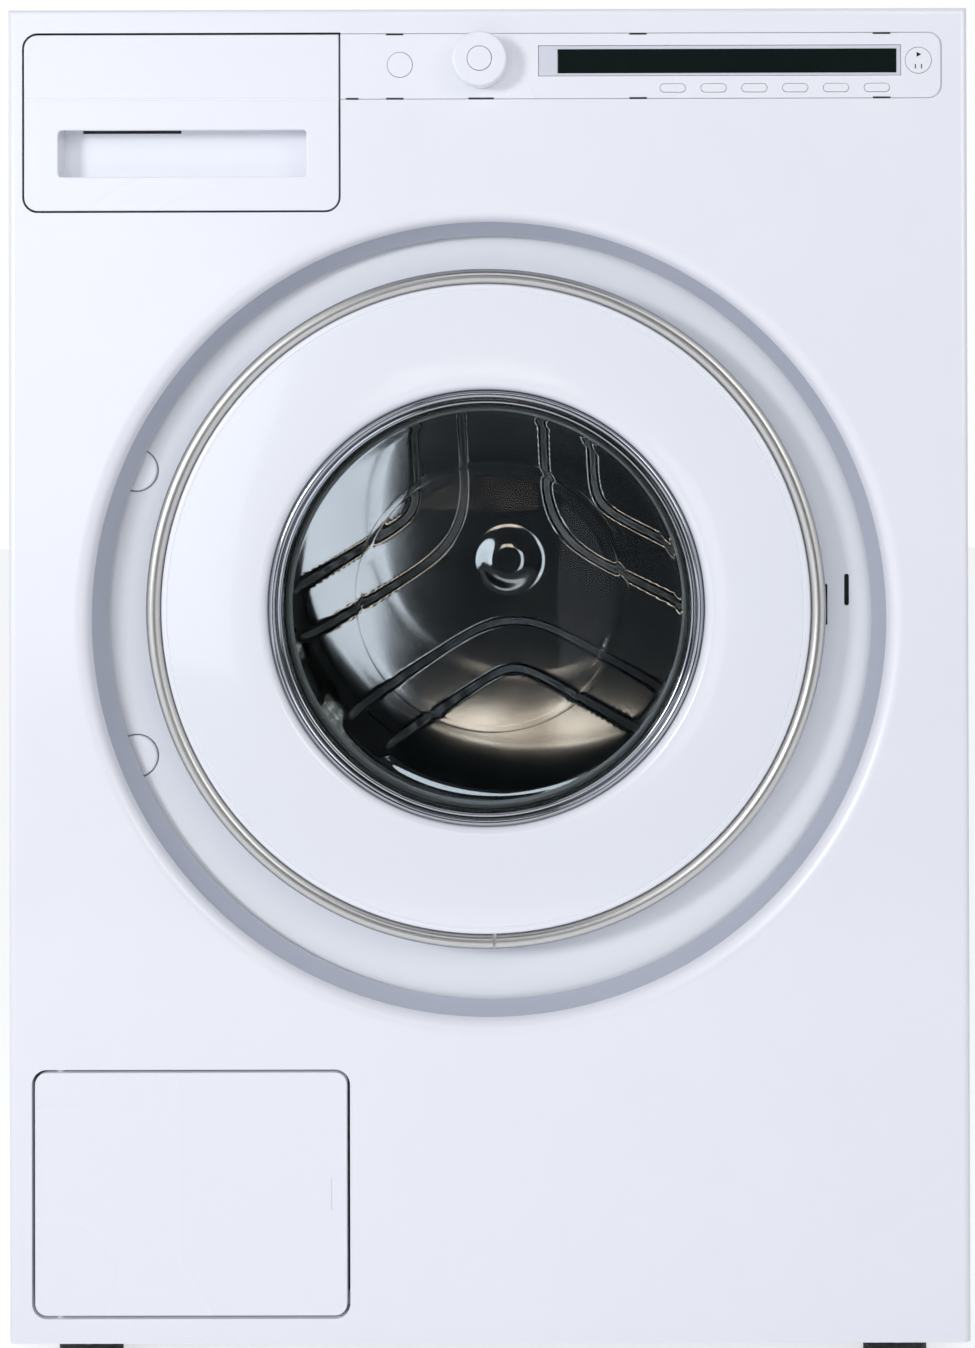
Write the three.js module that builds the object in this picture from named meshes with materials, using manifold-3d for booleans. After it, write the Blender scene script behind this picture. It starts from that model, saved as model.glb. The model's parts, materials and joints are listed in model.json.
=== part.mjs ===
// A front-loading washing machine, built as an assembly of separate pieces.
// Millimetres, +Z up. X runs to the right and Y to the back, from the front panel's outer face.
// The door, the surround ring and the drum are carried by the tub, which slides on four shock absorbers.

import * as THREE from "three";
import { mergeVertices } from "three/addons/utils/BufferGeometryUtils.js";
import Module from "manifold-3d";

const wasm = await Module();
wasm.setup();

// Sizes and fits shared by many pieces
const fit = 0.3;
const overrun = 5;
const sheet = 1.2;
const weldShare = 1 / 10000;
const weld = fit * weldShare;
const half = 1 / 2;
const fullTurn = 2 * Math.PI;
const quarterTurn = fullTurn / 4;

// Faces round a turned piece, and steps in a rounded corner
const facets = { large: 40, wide: 28, medium: 18, small: 12, tiny: 8, corner: 2 };

// Cabinet and its feet
const cabinet = { width: 595, height: 850, depth: 560, edge: 5, frontReturn: 24, flange: 10, topEdge: 14 };
const foot = {
  height: 25, padRadius: 20, padHeight: 10, stemRadius: 5, stemTop: 56, sideInset: 42, endInset: 46,
};
const base = { thickness: 2, rim: 24, bossRadius: 14, bossTop: 43 };

// Front panel's dished opening, and the service flap with its collar
const dish = { height: 471, radius: 257, roll: 10, lipRadius: 239, depth: 22, margin: 10 };
const flap = {
  width: 193, height: 150, left: 16.5, bottom: 42, corner: 7.5, gap: 1.9, face: 2.5, rim: 8, wall: 2,
  pinInset: 15, pinRadius: 2.5, pinDepth: 6, pinReach: 3.4, collar: 2, collarDepth: 17, gripHeight: 19,
  gripWidth: 1.6,
};

// Detergent drawer and the housing that it slides in
const drawer = {
  width: 195, height: 109, left: 10.5, top: 16, corner: 8.5, gap: 1.2, depth: 24, face: 3, wall: 2.5,
  groove: 0.8,
};
const handle = {
  width: 154, height: 29, left: 21, bottom: 21, depth: 19, corner: 2, lipThickness: 4, undercut: 7,
};
const tray = { length: 290, height: 54, wall: 2, play: 2, dividers: 2 };
const dispenser = {
  length: 322, wall: 2.5, margin: 3, rise: 20, lugShares: [0.25, 0.75], lugWidth: 24, lugRise: 40,
};
const spout = { radius: 14, bore: 10, length: 45, inset: 45 };

// Control strip, from its lower edge
const strip = {
  height: 40, right: 16.5, corner: 8, gap: 0.6, face: 3, depth: 13, wall: 2, clip: 4, clipThickness: 2,
};
const display = { width: 224, height: 18.5, left: 32, rise: 14, sink: 0.4, ledge: 1, ledgeThickness: 2.4 };
const board = { inset: 12, edge: 3, thickness: 1.6 };
const knob = { radius: 16.7, height: 15.6, x: -4, rise: 23, stemRadius: 4, floor: 3, rounding: 1.2 };
const button = { travel: 1.5, proud: 0.6, collar: 1.2, collarThickness: 1.6 };
const knobButton = { radius: 7.4, proud: 0.5 };
const power = { radius: 7.7, x: -54, rise: 21 };
const start = { radius: 8, x: 267, rise: 23 };
const option = { count: 6, width: 15.5, height: 5, pitch: 25.25, x: 115, rise: 6.2 };

// Fittings on the back and the pump behind the flap
const inlet = {
  x: -230, drop: 46, threadRadius: 13, bore: 9, boreDepth: 14, body: 44, length: 52, pipeRadius: 7,
  proud: 8.6,
};
const drain = {
  x: -265, height: 80, radius: 10, bore: 7.5, flangeRadius: 17, flangeThickness: 3, proud: 8.6,
};
const gland = {
  x: 235, height: 130, radius: 11, bore: 4.5, flangeRadius: 16, flangeThickness: 3, proud: 8, length: 22,
};
const pump = {
  x: -185, height: 115, radius: 38, front: 66, length: 124, footWidth: 44, footInset: 30, outletRadius: 12,
  outletInset: 25,
};
const sump = {
  x: -165, y: 124, neckRadius: 21.7, neckWall: 2.5, pumpNeckTop: 172, tubNeck: 34, hoseWall: 2.5, sleeve: 16,
};
const filter = {
  radius: 31, thickness: 14, gripWidth: 9, gripHeight: 12, stemRadius: 20, stemLength: 26, stemWall: 3,
};
const hose = { ribs: 6, ribHeight: 3 };

// Tub and what it carries, measured from the drum's axis
const tub = { x: -1.8, height: 477.5, radius: 265, wall: 2.5, front: 80, back: 446, bore: 20, rim: 5 };
const fillNeck = { radius: 24, wall: 3, rise: 45 };
const cover = {
  wall: 2.5, stepRadius: 203, stepSlope: 4, landRadius: 196, landInner: 176, land: 36, throatRadius: 157,
  throat: 62, mouthRadius: 151, mouth: 76,
};
const ring = {
  outerRadius: 248, innerRadius: 205, face: 26, fall: 6, edge: 2.5, wall: 2, returnDepth: 9, legs: 6,
  legRadius: 4,
};
const cap = { radius: 13.5, x: -219, spread: 90, proud: 0.8 };
const slot = { x: 226.4, rise: 9.5, width: 3, height: 20 };
const cradle = {
  thickness: 9, width: 30, clipShare: 0.55, beamHeight: 20, beamWidth: 20, beamDrop: 170, rodRadius: 9.6,
};
const shock = {
  x: 215, frontY: 232, backY: 400, radius: 18, bore: 10, height: 160, seat: 4, footRadius: 26, rodBottom: 60,
};
const ballast = { left: -62, right: 205, front: 130, length: 280, thickness: 45 };
const motor = {
  x: 62, drop: 336, radius: 52, length: 128, shaftRadius: 7, shaftDepth: 20, pulleyRadius: 12, bracket: 40,
  pulleyEdge: 3,
};
const housing = { thickness: 28, hubRadius: 46, armWidth: 34, armReach: 250, armThickness: 14, arms: 4 };
const bearing = { outerRadius: 31, length: 12, shaftRadius: 15 };
const heater = {
  radius: 4, spread: 30, orbit: 251, length: 300, blockWidth: 90, blockHeight: 16, blockThickness: 10,
};
const belt = { width: 12, thickness: 4, y: 486 };

// Drum, its shaft and its pulley
const drum = {
  radius: 240, wall: 1.5, front: 88, back: 416, mouth: 158, lip: 9, round: 4, arms: 3, armRise: 12,
  armWidth: 50, armFlare: 104, armReach: 226, hubRadius: 44, hubRise: 15,
};
const lifter = { width: 84, waistShare: 0.62, height: 30, start: 102, length: 296, bevel: 10 };
const spider = { thickness: 12, armWidth: 36, armReach: 205, hubRadius: 36 };
const pulley = {
  radius: 138, width: 14, rim: 8, hubRadius: 34, hubWidth: 22, spokes: 5, spokeWidth: 22, web: 6, bore: 12,
};

// Door and its hinge, latch and lock
const trim = { outerRadius: 211.5, width: 9.3, front: 4, thickness: 4.5 };
const frame = {
  front: 5.5, edge: 2, windowRadius: 136, windowFall: 7, back: 27, backRadius: 199, flange: 3,
  flangeLap: 2.5,
};
const rim = { width: 12.4, fall: 10, front: 9, thickness: 3 };
const glass = { thickness: 4, throat: 117, base: 90, depth: 84, round: 12, roundSteps: 4 };
const seal = { thickness: 3, inner: 123, beadInner: 178, beadOuter: 193 };
const hinge = {
  x: -203, y: 14, pinRadius: 2.5, knuckle: 5, doorLength: 50, tubLength: 14, arm: 8, postLeft: 2.3,
};
const latch = {
  x: 206, width: 16, height: 22, reach: 22, thickness: 2.5, baseWidth: 12.2, barb: 4, play: 2,
};
const lock = { left: 204.5, right: 236, height: 64, front: 42, pocket: 6 };

const finishes = {
  whiteEnamel: { color: "#f0f2fa", roughness: 0.28, metalness: 0 },
  whitePlastic: { color: "#f2f4fb", roughness: 0.35, metalness: 0 },
  paleRing: { color: "#dfe6f1", roughness: 0.3, metalness: 0 },
  brushedSteel: { color: "#b9b6ae", roughness: 0.32, metalness: 1 },
  chrome: { color: "#8c9096", roughness: 0.1, metalness: 1 },
  drumSteel: { color: "#a9adb0", roughness: 0.22, metalness: 1 },
  zincSteel: { color: "#b4b8ba", roughness: 0.45, metalness: 1 },
  darkGlass: { color: "#15201f", roughness: 0.12, metalness: 0 },
  clearGlass: { color: "#cfd8dc", roughness: 0.03, metalness: 0, transparent: true, opacity: 0.35 },
  greyRubber: { color: "#5b6066", roughness: 0.75, metalness: 0 },
  blackRubber: { color: "#1f2123", roughness: 0.8, metalness: 0 },
  blackPlastic: { color: "#17191b", roughness: 0.5, metalness: 0 },
  greyPlastic: { color: "#9aa0a6", roughness: 0.5, metalness: 0 },
  circuitBoard: { color: "#2f6b45", roughness: 0.6, metalness: 0 },
  castAluminium: { color: "#9fa3a6", roughness: 0.5, metalness: 1 },
  concrete: { color: "#8d8b86", roughness: 0.9, metalness: 0 },
};

// Closed geometry as a solid, and a solid as geometry
function solidOf(geometry) {
  const bare = geometry.clone();
  bare.deleteAttribute("normal");
  bare.deleteAttribute("uv");
  const merged = mergeVertices(bare, weld);
  const vertProperties = merged.attributes.position.array;
  const triVerts = new Uint32Array(merged.index.array);
  return new wasm.Manifold(new wasm.Mesh({ numProp: 3, vertProperties, triVerts }));
}

function geometryOf(solid) {
  const mesh = solid.getMesh();
  const geometry = new THREE.BufferGeometry();
  geometry.setAttribute("position", new THREE.BufferAttribute(new Float32Array(mesh.vertProperties), 3));
  geometry.setIndex(new THREE.BufferAttribute(new Uint32Array(mesh.triVerts), 1));
  geometry.computeVertexNormals();
  return geometry;
}

function join(...geometries) {
  return geometryOf(geometries.map(solidOf).reduce((whole, next) => whole.add(next)));
}

function cut(body, ...tools) {
  return geometryOf(tools.map(solidOf).reduce((left, tool) => left.subtract(tool), solidOf(body)));
}

function meet(first, second) {
  return geometryOf(solidOf(first).intersect(solidOf(second)));
}

// A range of the given length round a middle
function around(middle, length) {
  return [middle - length * half, middle + length * half];
}

// A range grown at both ends
function grow([from, to], by) {
  return [from - by, to + by];
}

function mirrored([from, to], side) {
  return side < 0 ? [-to, -from] : [from, to];
}

function block(x, y, z) {
  const box = new THREE.BoxGeometry(x[1] - x[0], y[1] - y[0], z[1] - z[0]);
  return box.translate((x[0] + x[1]) * half, (y[0] + y[1]) * half, (z[0] + z[1]) * half);
}

// Round bars along X, Y and Z
function rodX(radius, x, y, z, sides = facets.small) {
  const rod = new THREE.CylinderGeometry(radius, radius, x[1] - x[0], sides).rotateZ(quarterTurn);
  return rod.translate((x[0] + x[1]) * half, y, z);
}

function rodY(radius, x, y, z, sides = facets.small) {
  const rod = new THREE.CylinderGeometry(radius, radius, y[1] - y[0], sides);
  return rod.translate(x, (y[0] + y[1]) * half, z);
}

function rodZ(radius, x, y, z, sides = facets.small) {
  const rod = new THREE.CylinderGeometry(radius, radius, z[1] - z[0], sides).rotateX(quarterTurn);
  return rod.translate(x, y, (z[0] + z[1]) * half);
}

function shapeOf(outline, holes = []) {
  const shape = new THREE.Shape(outline.map(([x, y]) => new THREE.Vector2(x, y)));
  shape.holes = holes.map((hole) => new THREE.Path(hole.map(([x, y]) => new THREE.Vector2(x, y))));
  return shape;
}

// An outline of [x, z] points made thick along Y
function plateY(outline, y, ...holes) {
  const depth = y[1] - y[0];
  const plate = new THREE.ExtrudeGeometry(shapeOf(outline, holes), { depth, bevelEnabled: false });
  return plate.rotateX(quarterTurn).translate(0, y[1], 0);
}

// An outline of [x, y] points made thick along Z
function plateZ(outline, z) {
  const plate = new THREE.ExtrudeGeometry(shapeOf(outline), { depth: z[1] - z[0], bevelEnabled: false });
  return plate.translate(0, 0, z[0]);
}

// An outline of [y, z] points made thick along X
function plateX(outline, x) {
  const plate = new THREE.ExtrudeGeometry(shapeOf(outline), { depth: x[1] - x[0], bevelEnabled: false });
  return plate.rotateX(quarterTurn).rotateZ(quarterTurn).translate(x[0], 0, 0);
}

function arc(x, y, radius, from, to, steps) {
  return Array.from({ length: steps + 1 }, (_, i) => {
    const angle = from + ((to - from) * i) / steps;
    return [x + radius * Math.cos(angle), y + radius * Math.sin(angle)];
  });
}

// A rectangle whose corners, from the lower left round to the upper left, have these radii
function rounded([left, right], [bottom, top], radii) {
  const corners = [[left, bottom, 1, 1], [right, bottom, -1, 1], [right, top, -1, -1], [left, top, 1, -1]];
  return corners.flatMap(([x, z, inX, inZ], i) => {
    const radius = radii[i];
    const first = (i + 2) * quarterTurn;
    if (!radius) return [[x, z]];
    return arc(x + inX * radius, z + inZ * radius, radius, first, first + quarterTurn, facets.corner);
  });
}

function evenly(radius) {
  return [radius, radius, radius, radius];
}

// A section of [radius, y] points turned about the Y axis, from the axis back to it or round to its start
function turned(points, sides = facets.large) {
  const section = points.map(([radius, y]) => new THREE.Vector2(Math.abs(radius) < weld ? 0 : radius, y));
  if (THREE.ShapeUtils.area(section) < 0) section.reverse();
  const next = (i) => section[(i + 1) % section.length];
  const core = section.findIndex((point, i) => point.x === 0 && next(i).x === 0);
  const outline = [...section.slice(core + 1), ...section.slice(0, core + 1)];
  if (core < 0) outline.push(outline[0].clone());
  return new THREE.LatheGeometry(outline, sides);
}

function ringOf(inner, outer, y, sides = facets.large) {
  return turned([[inner, y[0]], [outer, y[0]], [outer, y[1]], [inner, y[1]]], sides);
}

// The section of a sheet bent along a line of points, with its thickness to the line's right
function bent(line, thickness) {
  const points = line.map(([x, y]) => new THREE.Vector2(x, y));
  const rights = points.slice(1).map((point, i) => {
    const way = point.clone().sub(points[i]).normalize();
    return new THREE.Vector2(way.y, -way.x);
  });
  const back = points.map((point, i) => {
    const before = rights[Math.max(i - 1, 0)];
    const after = rights[Math.min(i, rights.length - 1)];
    const mitre = before.clone().add(after).divideScalar(1 + before.dot(after));
    return point.clone().addScaledVector(mitre, thickness).toArray();
  });
  return [...line, ...back.reverse()];
}

// The Y of a bent line at a radius
function lineAt(line, radius) {
  const i = line.findIndex(([r], n) => n > 0 && (r - radius) * (line[n - 1][0] - radius) <= 0);
  const [[r0, y0], [r1, y1]] = [line[i - 1], line[i]];
  return y0 + ((y1 - y0) * (radius - r0)) / (r1 - r0);
}

function turns(count, first = 0) {
  return Array.from({ length: count }, (_, i) => first + (i * fullTurn) / count);
}

// The corner radius of a faceted bore whose flats lie at this radius
function boreAround(radius, sides) {
  return radius / Math.cos((fullTurn * half) / sides);
}

const washer = new THREE.Group();

function groupIn(parent, x = 0, y = 0, z = 0) {
  const group = new THREE.Group();
  group.position.set(x, y, z);
  parent.add(group);
  return group;
}

function piece(group, name, finish, geometry, x = 0, y = 0, z = 0) {
  const mesh = new THREE.Mesh(geometry, new THREE.MeshStandardMaterial(finishes[finish]));
  mesh.name = name;
  mesh.position.set(x, y, z);
  group.add(mesh);
}

// Places on the cabinet, worked out from its sizes
const right = cabinet.width * half;
const left = -right;
const inside = right - sheet - fit;
const panelBack = cabinet.frontReturn + fit;
const backFace = cabinet.depth - sheet;
const underTop = cabinet.height - cabinet.topEdge - fit;
const floorTop = foot.height + base.thickness;
const drawerX = [left + drawer.left, left + drawer.left + drawer.width];
const drawerZ = [cabinet.height - drawer.top - drawer.height, cabinet.height - drawer.top];
const stripX = [drawerX[1] + drawer.gap, right - strip.right];
const stripZ = [drawerZ[1] - strip.height, drawerZ[1]];
const flapX = [left + flap.left, left + flap.left + flap.width];
const flapZ = [flap.bottom, flap.bottom + flap.height];
const dispenserX = grow(drawerX, -dispenser.margin);
const dispenserY = [drawer.depth + fit, drawer.depth + fit + dispenser.length];
const dispenserZ = [drawerZ[0] + dispenser.rise, drawerZ[1] - dispenser.margin];
const spoutX = (dispenserX[0] + dispenserX[1]) * half;
const spoutY = dispenserY[1] - spout.inset;
const rodPlaces = [-shock.x, shock.x].flatMap((x) => [shock.frontY, shock.backY].map((y) => [x, y]));
const footPlaces = [left + foot.sideInset, right - foot.sideInset].flatMap((x) =>
  [foot.endInset, cabinet.depth - foot.endInset].map((y) => [x, y]),
);
const corners = ["left_front", "left_rear", "right_front", "right_rear"];

// The pressed front: face and folded edges, less their inside
function frontTray(inset, depthTo) {
  const x = [left + inset, right - inset];
  const y = [inset, depthTo];
  const z = [foot.height + inset, cabinet.height - inset];
  const edge = cabinet.edge - inset;
  return meet(plateZ(rounded(x, y, [edge, edge, 0, 0]), z), plateX(rounded(y, z, [0, 0, 0, edge]), x));
}

function drawerOutline(by) {
  const radius = drawer.corner + by;
  return rounded(grow(drawerX, by), grow(drawerZ, by), [radius, radius, 0, radius]);
}

function stripOutline(by) {
  const radius = strip.corner + by;
  return rounded(grow(stripX, by), grow(stripZ, by), [0, radius, radius, 0]);
}

function flapOutline(by) {
  return rounded(grow(flapX, by), grow(flapZ, by), evenly(flap.corner + by));
}

// Pressed sheet with the dished opening, the openings for drawer, strip and flap, and the flap's collar
function frontPanel() {
  const through = [-overrun, sheet + overrun];
  const line = [
    [dish.radius + dish.margin, 0],
    ...arc(dish.radius, dish.roll, dish.roll, -quarterTurn, -2 * quarterTurn, facets.corner),
    [dish.lipRadius, dish.depth],
  ];
  const opening = rodY(dish.radius + dish.margin * half, 0, through, dish.height, facets.large);
  const dished = turned(bent(line, sheet)).translate(0, 0, dish.height);
  const collar = plateY(flapOutline(flap.gap + flap.collar), [0, flap.collarDepth]);
  const room = frontTray(sheet, cabinet.frontReturn + overrun);
  const body = cut(frontTray(0, cabinet.frontReturn), room, opening);
  const pinX = flapX[0] + flap.pinInset;
  const pins = rodZ(flap.pinRadius + fit, pinX, flap.pinDepth, grow(flapZ, flap.pinReach + flap.gap));
  return cut(
    join(body, dished, collar),
    plateY(drawerOutline(drawer.gap), through),
    plateY(stripOutline(strip.gap), through),
    plateY(flapOutline(flap.gap), [-overrun, flap.collarDepth + overrun]),
    pins,
  );
}

// A sheet with flanges turned in at its front, its top and its rear, where the back panel lies on it
function sidePanel(side) {
  const z = [foot.height, underTop];
  const rear = [backFace - fit - sheet, backFace - fit];
  const within = mirrored([right - cabinet.flange - overrun, right - sheet], side);
  return cut(
    block(mirrored([right - cabinet.flange, right], side), [panelBack, cabinet.depth], z),
    block(within, [panelBack + sheet, rear[0]], [z[0] - overrun, z[1] - sheet]),
    block(within, [rear[1], cabinet.depth + overrun], grow(z, overrun)),
  );
}

function backPanel() {
  const through = [backFace - overrun, cabinet.depth + overrun];
  return cut(
    block([-inside, inside], [backFace, cabinet.depth], [foot.height, underTop]),
    rodY(inlet.threadRadius + fit, inlet.x, through, cabinet.height - inlet.drop),
    rodY(drain.radius + fit, drain.x, through, drain.height),
    rodY(gland.radius + fit, gland.x, through, gland.height),
  );
}

function topPanel() {
  const z = [cabinet.height - cabinet.topEdge, cabinet.height];
  return cut(
    block([left, right], [panelBack, cabinet.depth], z),
    block([left + sheet, right - sheet], [panelBack - overrun, backFace], [z[0] - overrun, z[1] - sheet]),
  );
}

// A shallow pan with a boss over each levelling foot
function basePlate() {
  const x = [-inside, inside];
  const y = [panelBack + sheet + fit, backFace - sheet - 2 * fit];
  const z = [foot.height, foot.height + base.rim];
  const room = block(grow(x, -base.thickness), grow(y, -base.thickness), [floorTop, z[1] + overrun]);
  const pan = cut(block(x, y, z), room);
  const bosses = footPlaces.map(([fx, fy]) => rodZ(base.bossRadius, fx, fy, [foot.height, base.bossTop]));
  const boreZ = [0, base.bossTop + overrun];
  const bores = footPlaces.map(([fx, fy]) => rodZ(foot.stemRadius + fit, fx, fy, boreZ));
  return cut(join(pan, ...bosses), ...bores);
}

function levellingFoot() {
  const section = [
    [0, 0], [foot.padRadius, 0], [foot.padRadius, foot.padHeight * half],
    [foot.padRadius * half, foot.padHeight], [foot.stemRadius, foot.padHeight],
    [foot.stemRadius, foot.stemTop], [0, foot.stemTop],
  ];
  return turned(section, facets.small).rotateX(quarterTurn);
}

function shockCylinder() {
  const z = [floorTop + fit, floorTop + fit + shock.height];
  const seat = z[0] + shock.seat;
  const section = [
    [0, z[0]], [shock.footRadius, z[0]], [shock.footRadius, seat], [shock.radius, seat],
    [shock.radius, z[1]], [shock.bore, z[1]], [shock.bore, seat], [0, seat],
  ];
  return turned(section, facets.small).rotateX(quarterTurn);
}

// Moulded fascia, clipped behind the front panel's edge
function controlPanel() {
  const clipX = [stripX[0], stripX[1] + strip.clip];
  const radius = strip.corner + strip.clip;
  const clipY = [sheet + fit, sheet + fit + strip.clipThickness];
  const through = [-overrun, strip.depth];
  const body = join(
    plateY(stripOutline(0), [0, strip.depth]),
    plateY(rounded(clipX, grow(stripZ, strip.clip), [0, radius, radius, 0]), clipY),
  );
  const bores = [
    [power.radius, power.x, power.rise], [start.radius, start.x, start.rise],
    [knob.stemRadius, knob.x, knob.rise],
  ];
  return cut(
    body,
    plateY(stripOutline(-strip.wall), [strip.face, strip.depth + overrun]),
    block(grow(displayX, fit), through, grow(displayZ, fit)),
    ...bores.map(([r, x, rise]) => rodY(r + fit, x, through, stripZ[0] + rise, facets.medium)),
    ...optionPlaces.map((x) => plateY(optionOutline(fit), through).translate(x, 0, optionZ)),
  );
}

const displayX = [display.left, display.left + display.width];
const displayZ = [stripZ[0] + display.rise, stripZ[0] + display.rise + display.height];
const optionZ = stripZ[0] + option.rise;
const optionPlaces = Array.from({ length: option.count }, (_, i) => option.x + i * option.pitch);
const behindFace = strip.face + fit;

function optionOutline(by) {
  const radii = evenly(option.height * half + by);
  return rounded(grow(around(0, option.width), by), grow(around(0, option.height), by), radii);
}

function displayWindow() {
  const ledge = [behindFace, behindFace + display.ledgeThickness];
  return join(
    block(displayX, [display.sink, ledge[1]], displayZ),
    block(grow(displayX, display.ledge), ledge, grow(displayZ, display.ledge)),
  );
}

function controlBoard() {
  const y = [strip.depth + fit, strip.depth + fit + board.thickness];
  return block(grow(stripX, -board.inset), y, grow(stripZ, -board.edge));
}

// A cap that shows in the fascia and a collar behind it
function roundButton(radius) {
  const back = behindFace + button.collarThickness;
  const edge = button.proud * half;
  return turned([
    [0, -button.proud], [radius - edge, -button.proud], [radius, edge - button.proud],
    [radius, behindFace], [radius + button.collar, behindFace], [radius + button.collar, back], [0, back],
  ], facets.medium);
}

function optionButton() {
  const back = behindFace + button.collarThickness;
  return join(
    plateY(optionOutline(0), [-button.proud, back]),
    plateY(optionOutline(button.collar), [behindFace, back]),
  );
}

const knobFront = -fit - knob.height;
const knobFloor = -fit - knob.floor;

function programmeKnob() {
  const bore = knobButton.radius + fit;
  const cap = turned([
    [0, -fit], [knob.radius, -fit], [knob.radius, knobFront + knob.rounding],
    [knob.radius - knob.rounding, knobFront], [bore, knobFront], [bore, knobFloor], [0, knobFloor],
  ], facets.medium);
  return join(cap, rodY(knob.stemRadius, 0, [knobFloor * half, strip.depth], 0));
}

function knobCentre() {
  const { radius, proud } = knobButton;
  const front = knobFront - proud;
  const back = knobFloor - button.travel;
  const edge = radius - proud;
  return turned([[0, front], [edge, front], [radius, knobFront], [radius, back], [0, back]], facets.medium);
}

const handleX = [drawerX[0] + handle.left, drawerX[0] + handle.left + handle.width];
const handleZ = [drawerZ[0] + handle.bottom, drawerZ[0] + handle.bottom + handle.height];

// Hollow front with a finger recess that runs up behind its upper edge
function drawerFront() {
  const pocketZ = [handleZ[0] - drawer.wall, handleZ[1] + handle.undercut + drawer.wall];
  const groove = around(stripZ[0], drawer.groove);
  return cut(
    join(
      cut(plateY(drawerOutline(0), [0, drawer.depth]),
        plateY(drawerOutline(-drawer.wall), [drawer.face, drawer.depth + overrun])),
      block(grow(handleX, drawer.wall), [drawer.face * half, handle.depth + drawer.wall], pocketZ),
    ),
    plateY(rounded(handleX, handleZ, evenly(handle.corner)), [-overrun, handle.depth]),
    block(handleX, [handle.lipThickness, handle.depth],
      [handleZ[0] + handle.corner, handleZ[1] + handle.undercut]),
    block(grow(drawerX, overrun), [-overrun, drawer.groove], groove),
  );
}

// Open tray with its compartments side by side
function drawerTray() {
  const x = grow(dispenserX, -dispenser.wall - tray.play);
  const y = [drawer.depth + fit, drawer.depth + fit + tray.length];
  const z = [dispenserZ[0] + dispenser.wall + fit, dispenserZ[0] + dispenser.wall + fit + tray.height];
  const count = tray.dividers + 1;
  const pitch = (x[1] - x[0] - tray.wall) / count;
  const rooms = Array.from({ length: count }, (_, i) => {
    const from = x[0] + tray.wall + i * pitch;
    return block([from, from + pitch - tray.wall], grow(y, -tray.wall), [z[0] + tray.wall, z[1] + overrun]);
  });
  return cut(block(x, y, z), ...rooms);
}

// Box open to the front, with lugs to the side panel and a spout over the tub's filling neck
function dispenserHousing() {
  const lugs = dispenser.lugShares.map((share) => {
    const y = around(dispenserY[0] + share * dispenser.length, dispenser.lugWidth);
    const z = around(dispenserZ[0] + dispenser.lugRise, dispenser.lugWidth);
    return block([-inside, dispenserX[0] + dispenser.wall], y, z);
  });
  const room = block(
    grow(dispenserX, -dispenser.wall),
    [dispenserY[0] - overrun, dispenserY[1] - dispenser.wall],
    grow(dispenserZ, -dispenser.wall),
  );
  const spoutZ = [dispenserZ[0] - spout.length, dispenserZ[0] + dispenser.wall];
  return cut(
    join(
      cut(block(dispenserX, dispenserY, dispenserZ), room),
      ...lugs,
      rodZ(spout.radius, spoutX, spoutY, spoutZ),
    ),
    rodZ(spout.bore, spoutX, spoutY, grow(spoutZ, overrun)),
  );
}

// Valve behind the back panel, with its hose thread outside and its pipe to the dispenser
function inletValve() {
  const z = cabinet.height - inlet.drop;
  const y = [backFace - fit - inlet.length, backFace - fit];
  const end = cabinet.depth + inlet.proud;
  return cut(
    join(
      block(around(inlet.x, inlet.body), y, around(z, inlet.body)),
      rodY(inlet.threadRadius, inlet.x, [y[1] - overrun, end], z),
      rodY(inlet.pipeRadius, inlet.x, [dispenserY[1] + fit, y[0] + overrun], z),
    ),
    rodY(inlet.bore, inlet.x, [end - inlet.boreDepth, end + overrun], z),
  );
}

function serviceFlap() {
  const pinX = flapX[0] + flap.pinInset;
  const ends = [
    [flapZ[0] - flap.pinReach, flapZ[0] + flap.wall],
    [flapZ[1] - flap.wall, flapZ[1] + flap.pinReach],
  ];
  const grip = [flapX[1] - flap.rim - flap.gripWidth, flapX[1] - flap.rim];
  const middle = (flapZ[0] + flapZ[1]) * half;
  return cut(
    join(
      cut(
        plateY(flapOutline(0), [0, flap.rim]),
        plateY(flapOutline(-flap.wall), [flap.face, flap.rim + overrun]),
      ),
      ...ends.map((z) => rodZ(flap.pinRadius, pinX, flap.pinDepth, z)),
    ),
    block(grip, [-overrun, flap.gripWidth * half], around(middle, flap.gripHeight)),
  );
}

// Pump body on its foot, with a filter bore in front, a neck to the sump and an outlet to the drain pipe
function drainPump() {
  const y = [pump.front, pump.front + pump.length];
  const outletY = y[1] - pump.outletInset;
  const boreY = [y[0] - overrun, y[0] + filter.stemLength + fit];
  const body = join(
    rodY(pump.radius, pump.x, y, pump.height, facets.medium),
    block(around(pump.x, pump.footWidth), grow(y, -pump.footInset), [floorTop + fit, pump.height]),
    rodZ(sump.neckRadius, sump.x, sump.y, [pump.height, sump.pumpNeckTop]),
    rodX(pump.outletRadius, [drain.x - pump.outletRadius, pump.x], outletY, drain.height),
  );
  return cut(
    body,
    rodY(boreAround(filter.stemRadius + fit, facets.medium), pump.x, boreY, pump.height, facets.medium),
    rodZ(sump.neckRadius - sump.neckWall, sump.x, sump.y, [pump.height, sump.pumpNeckTop + overrun]),
  );
}

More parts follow.
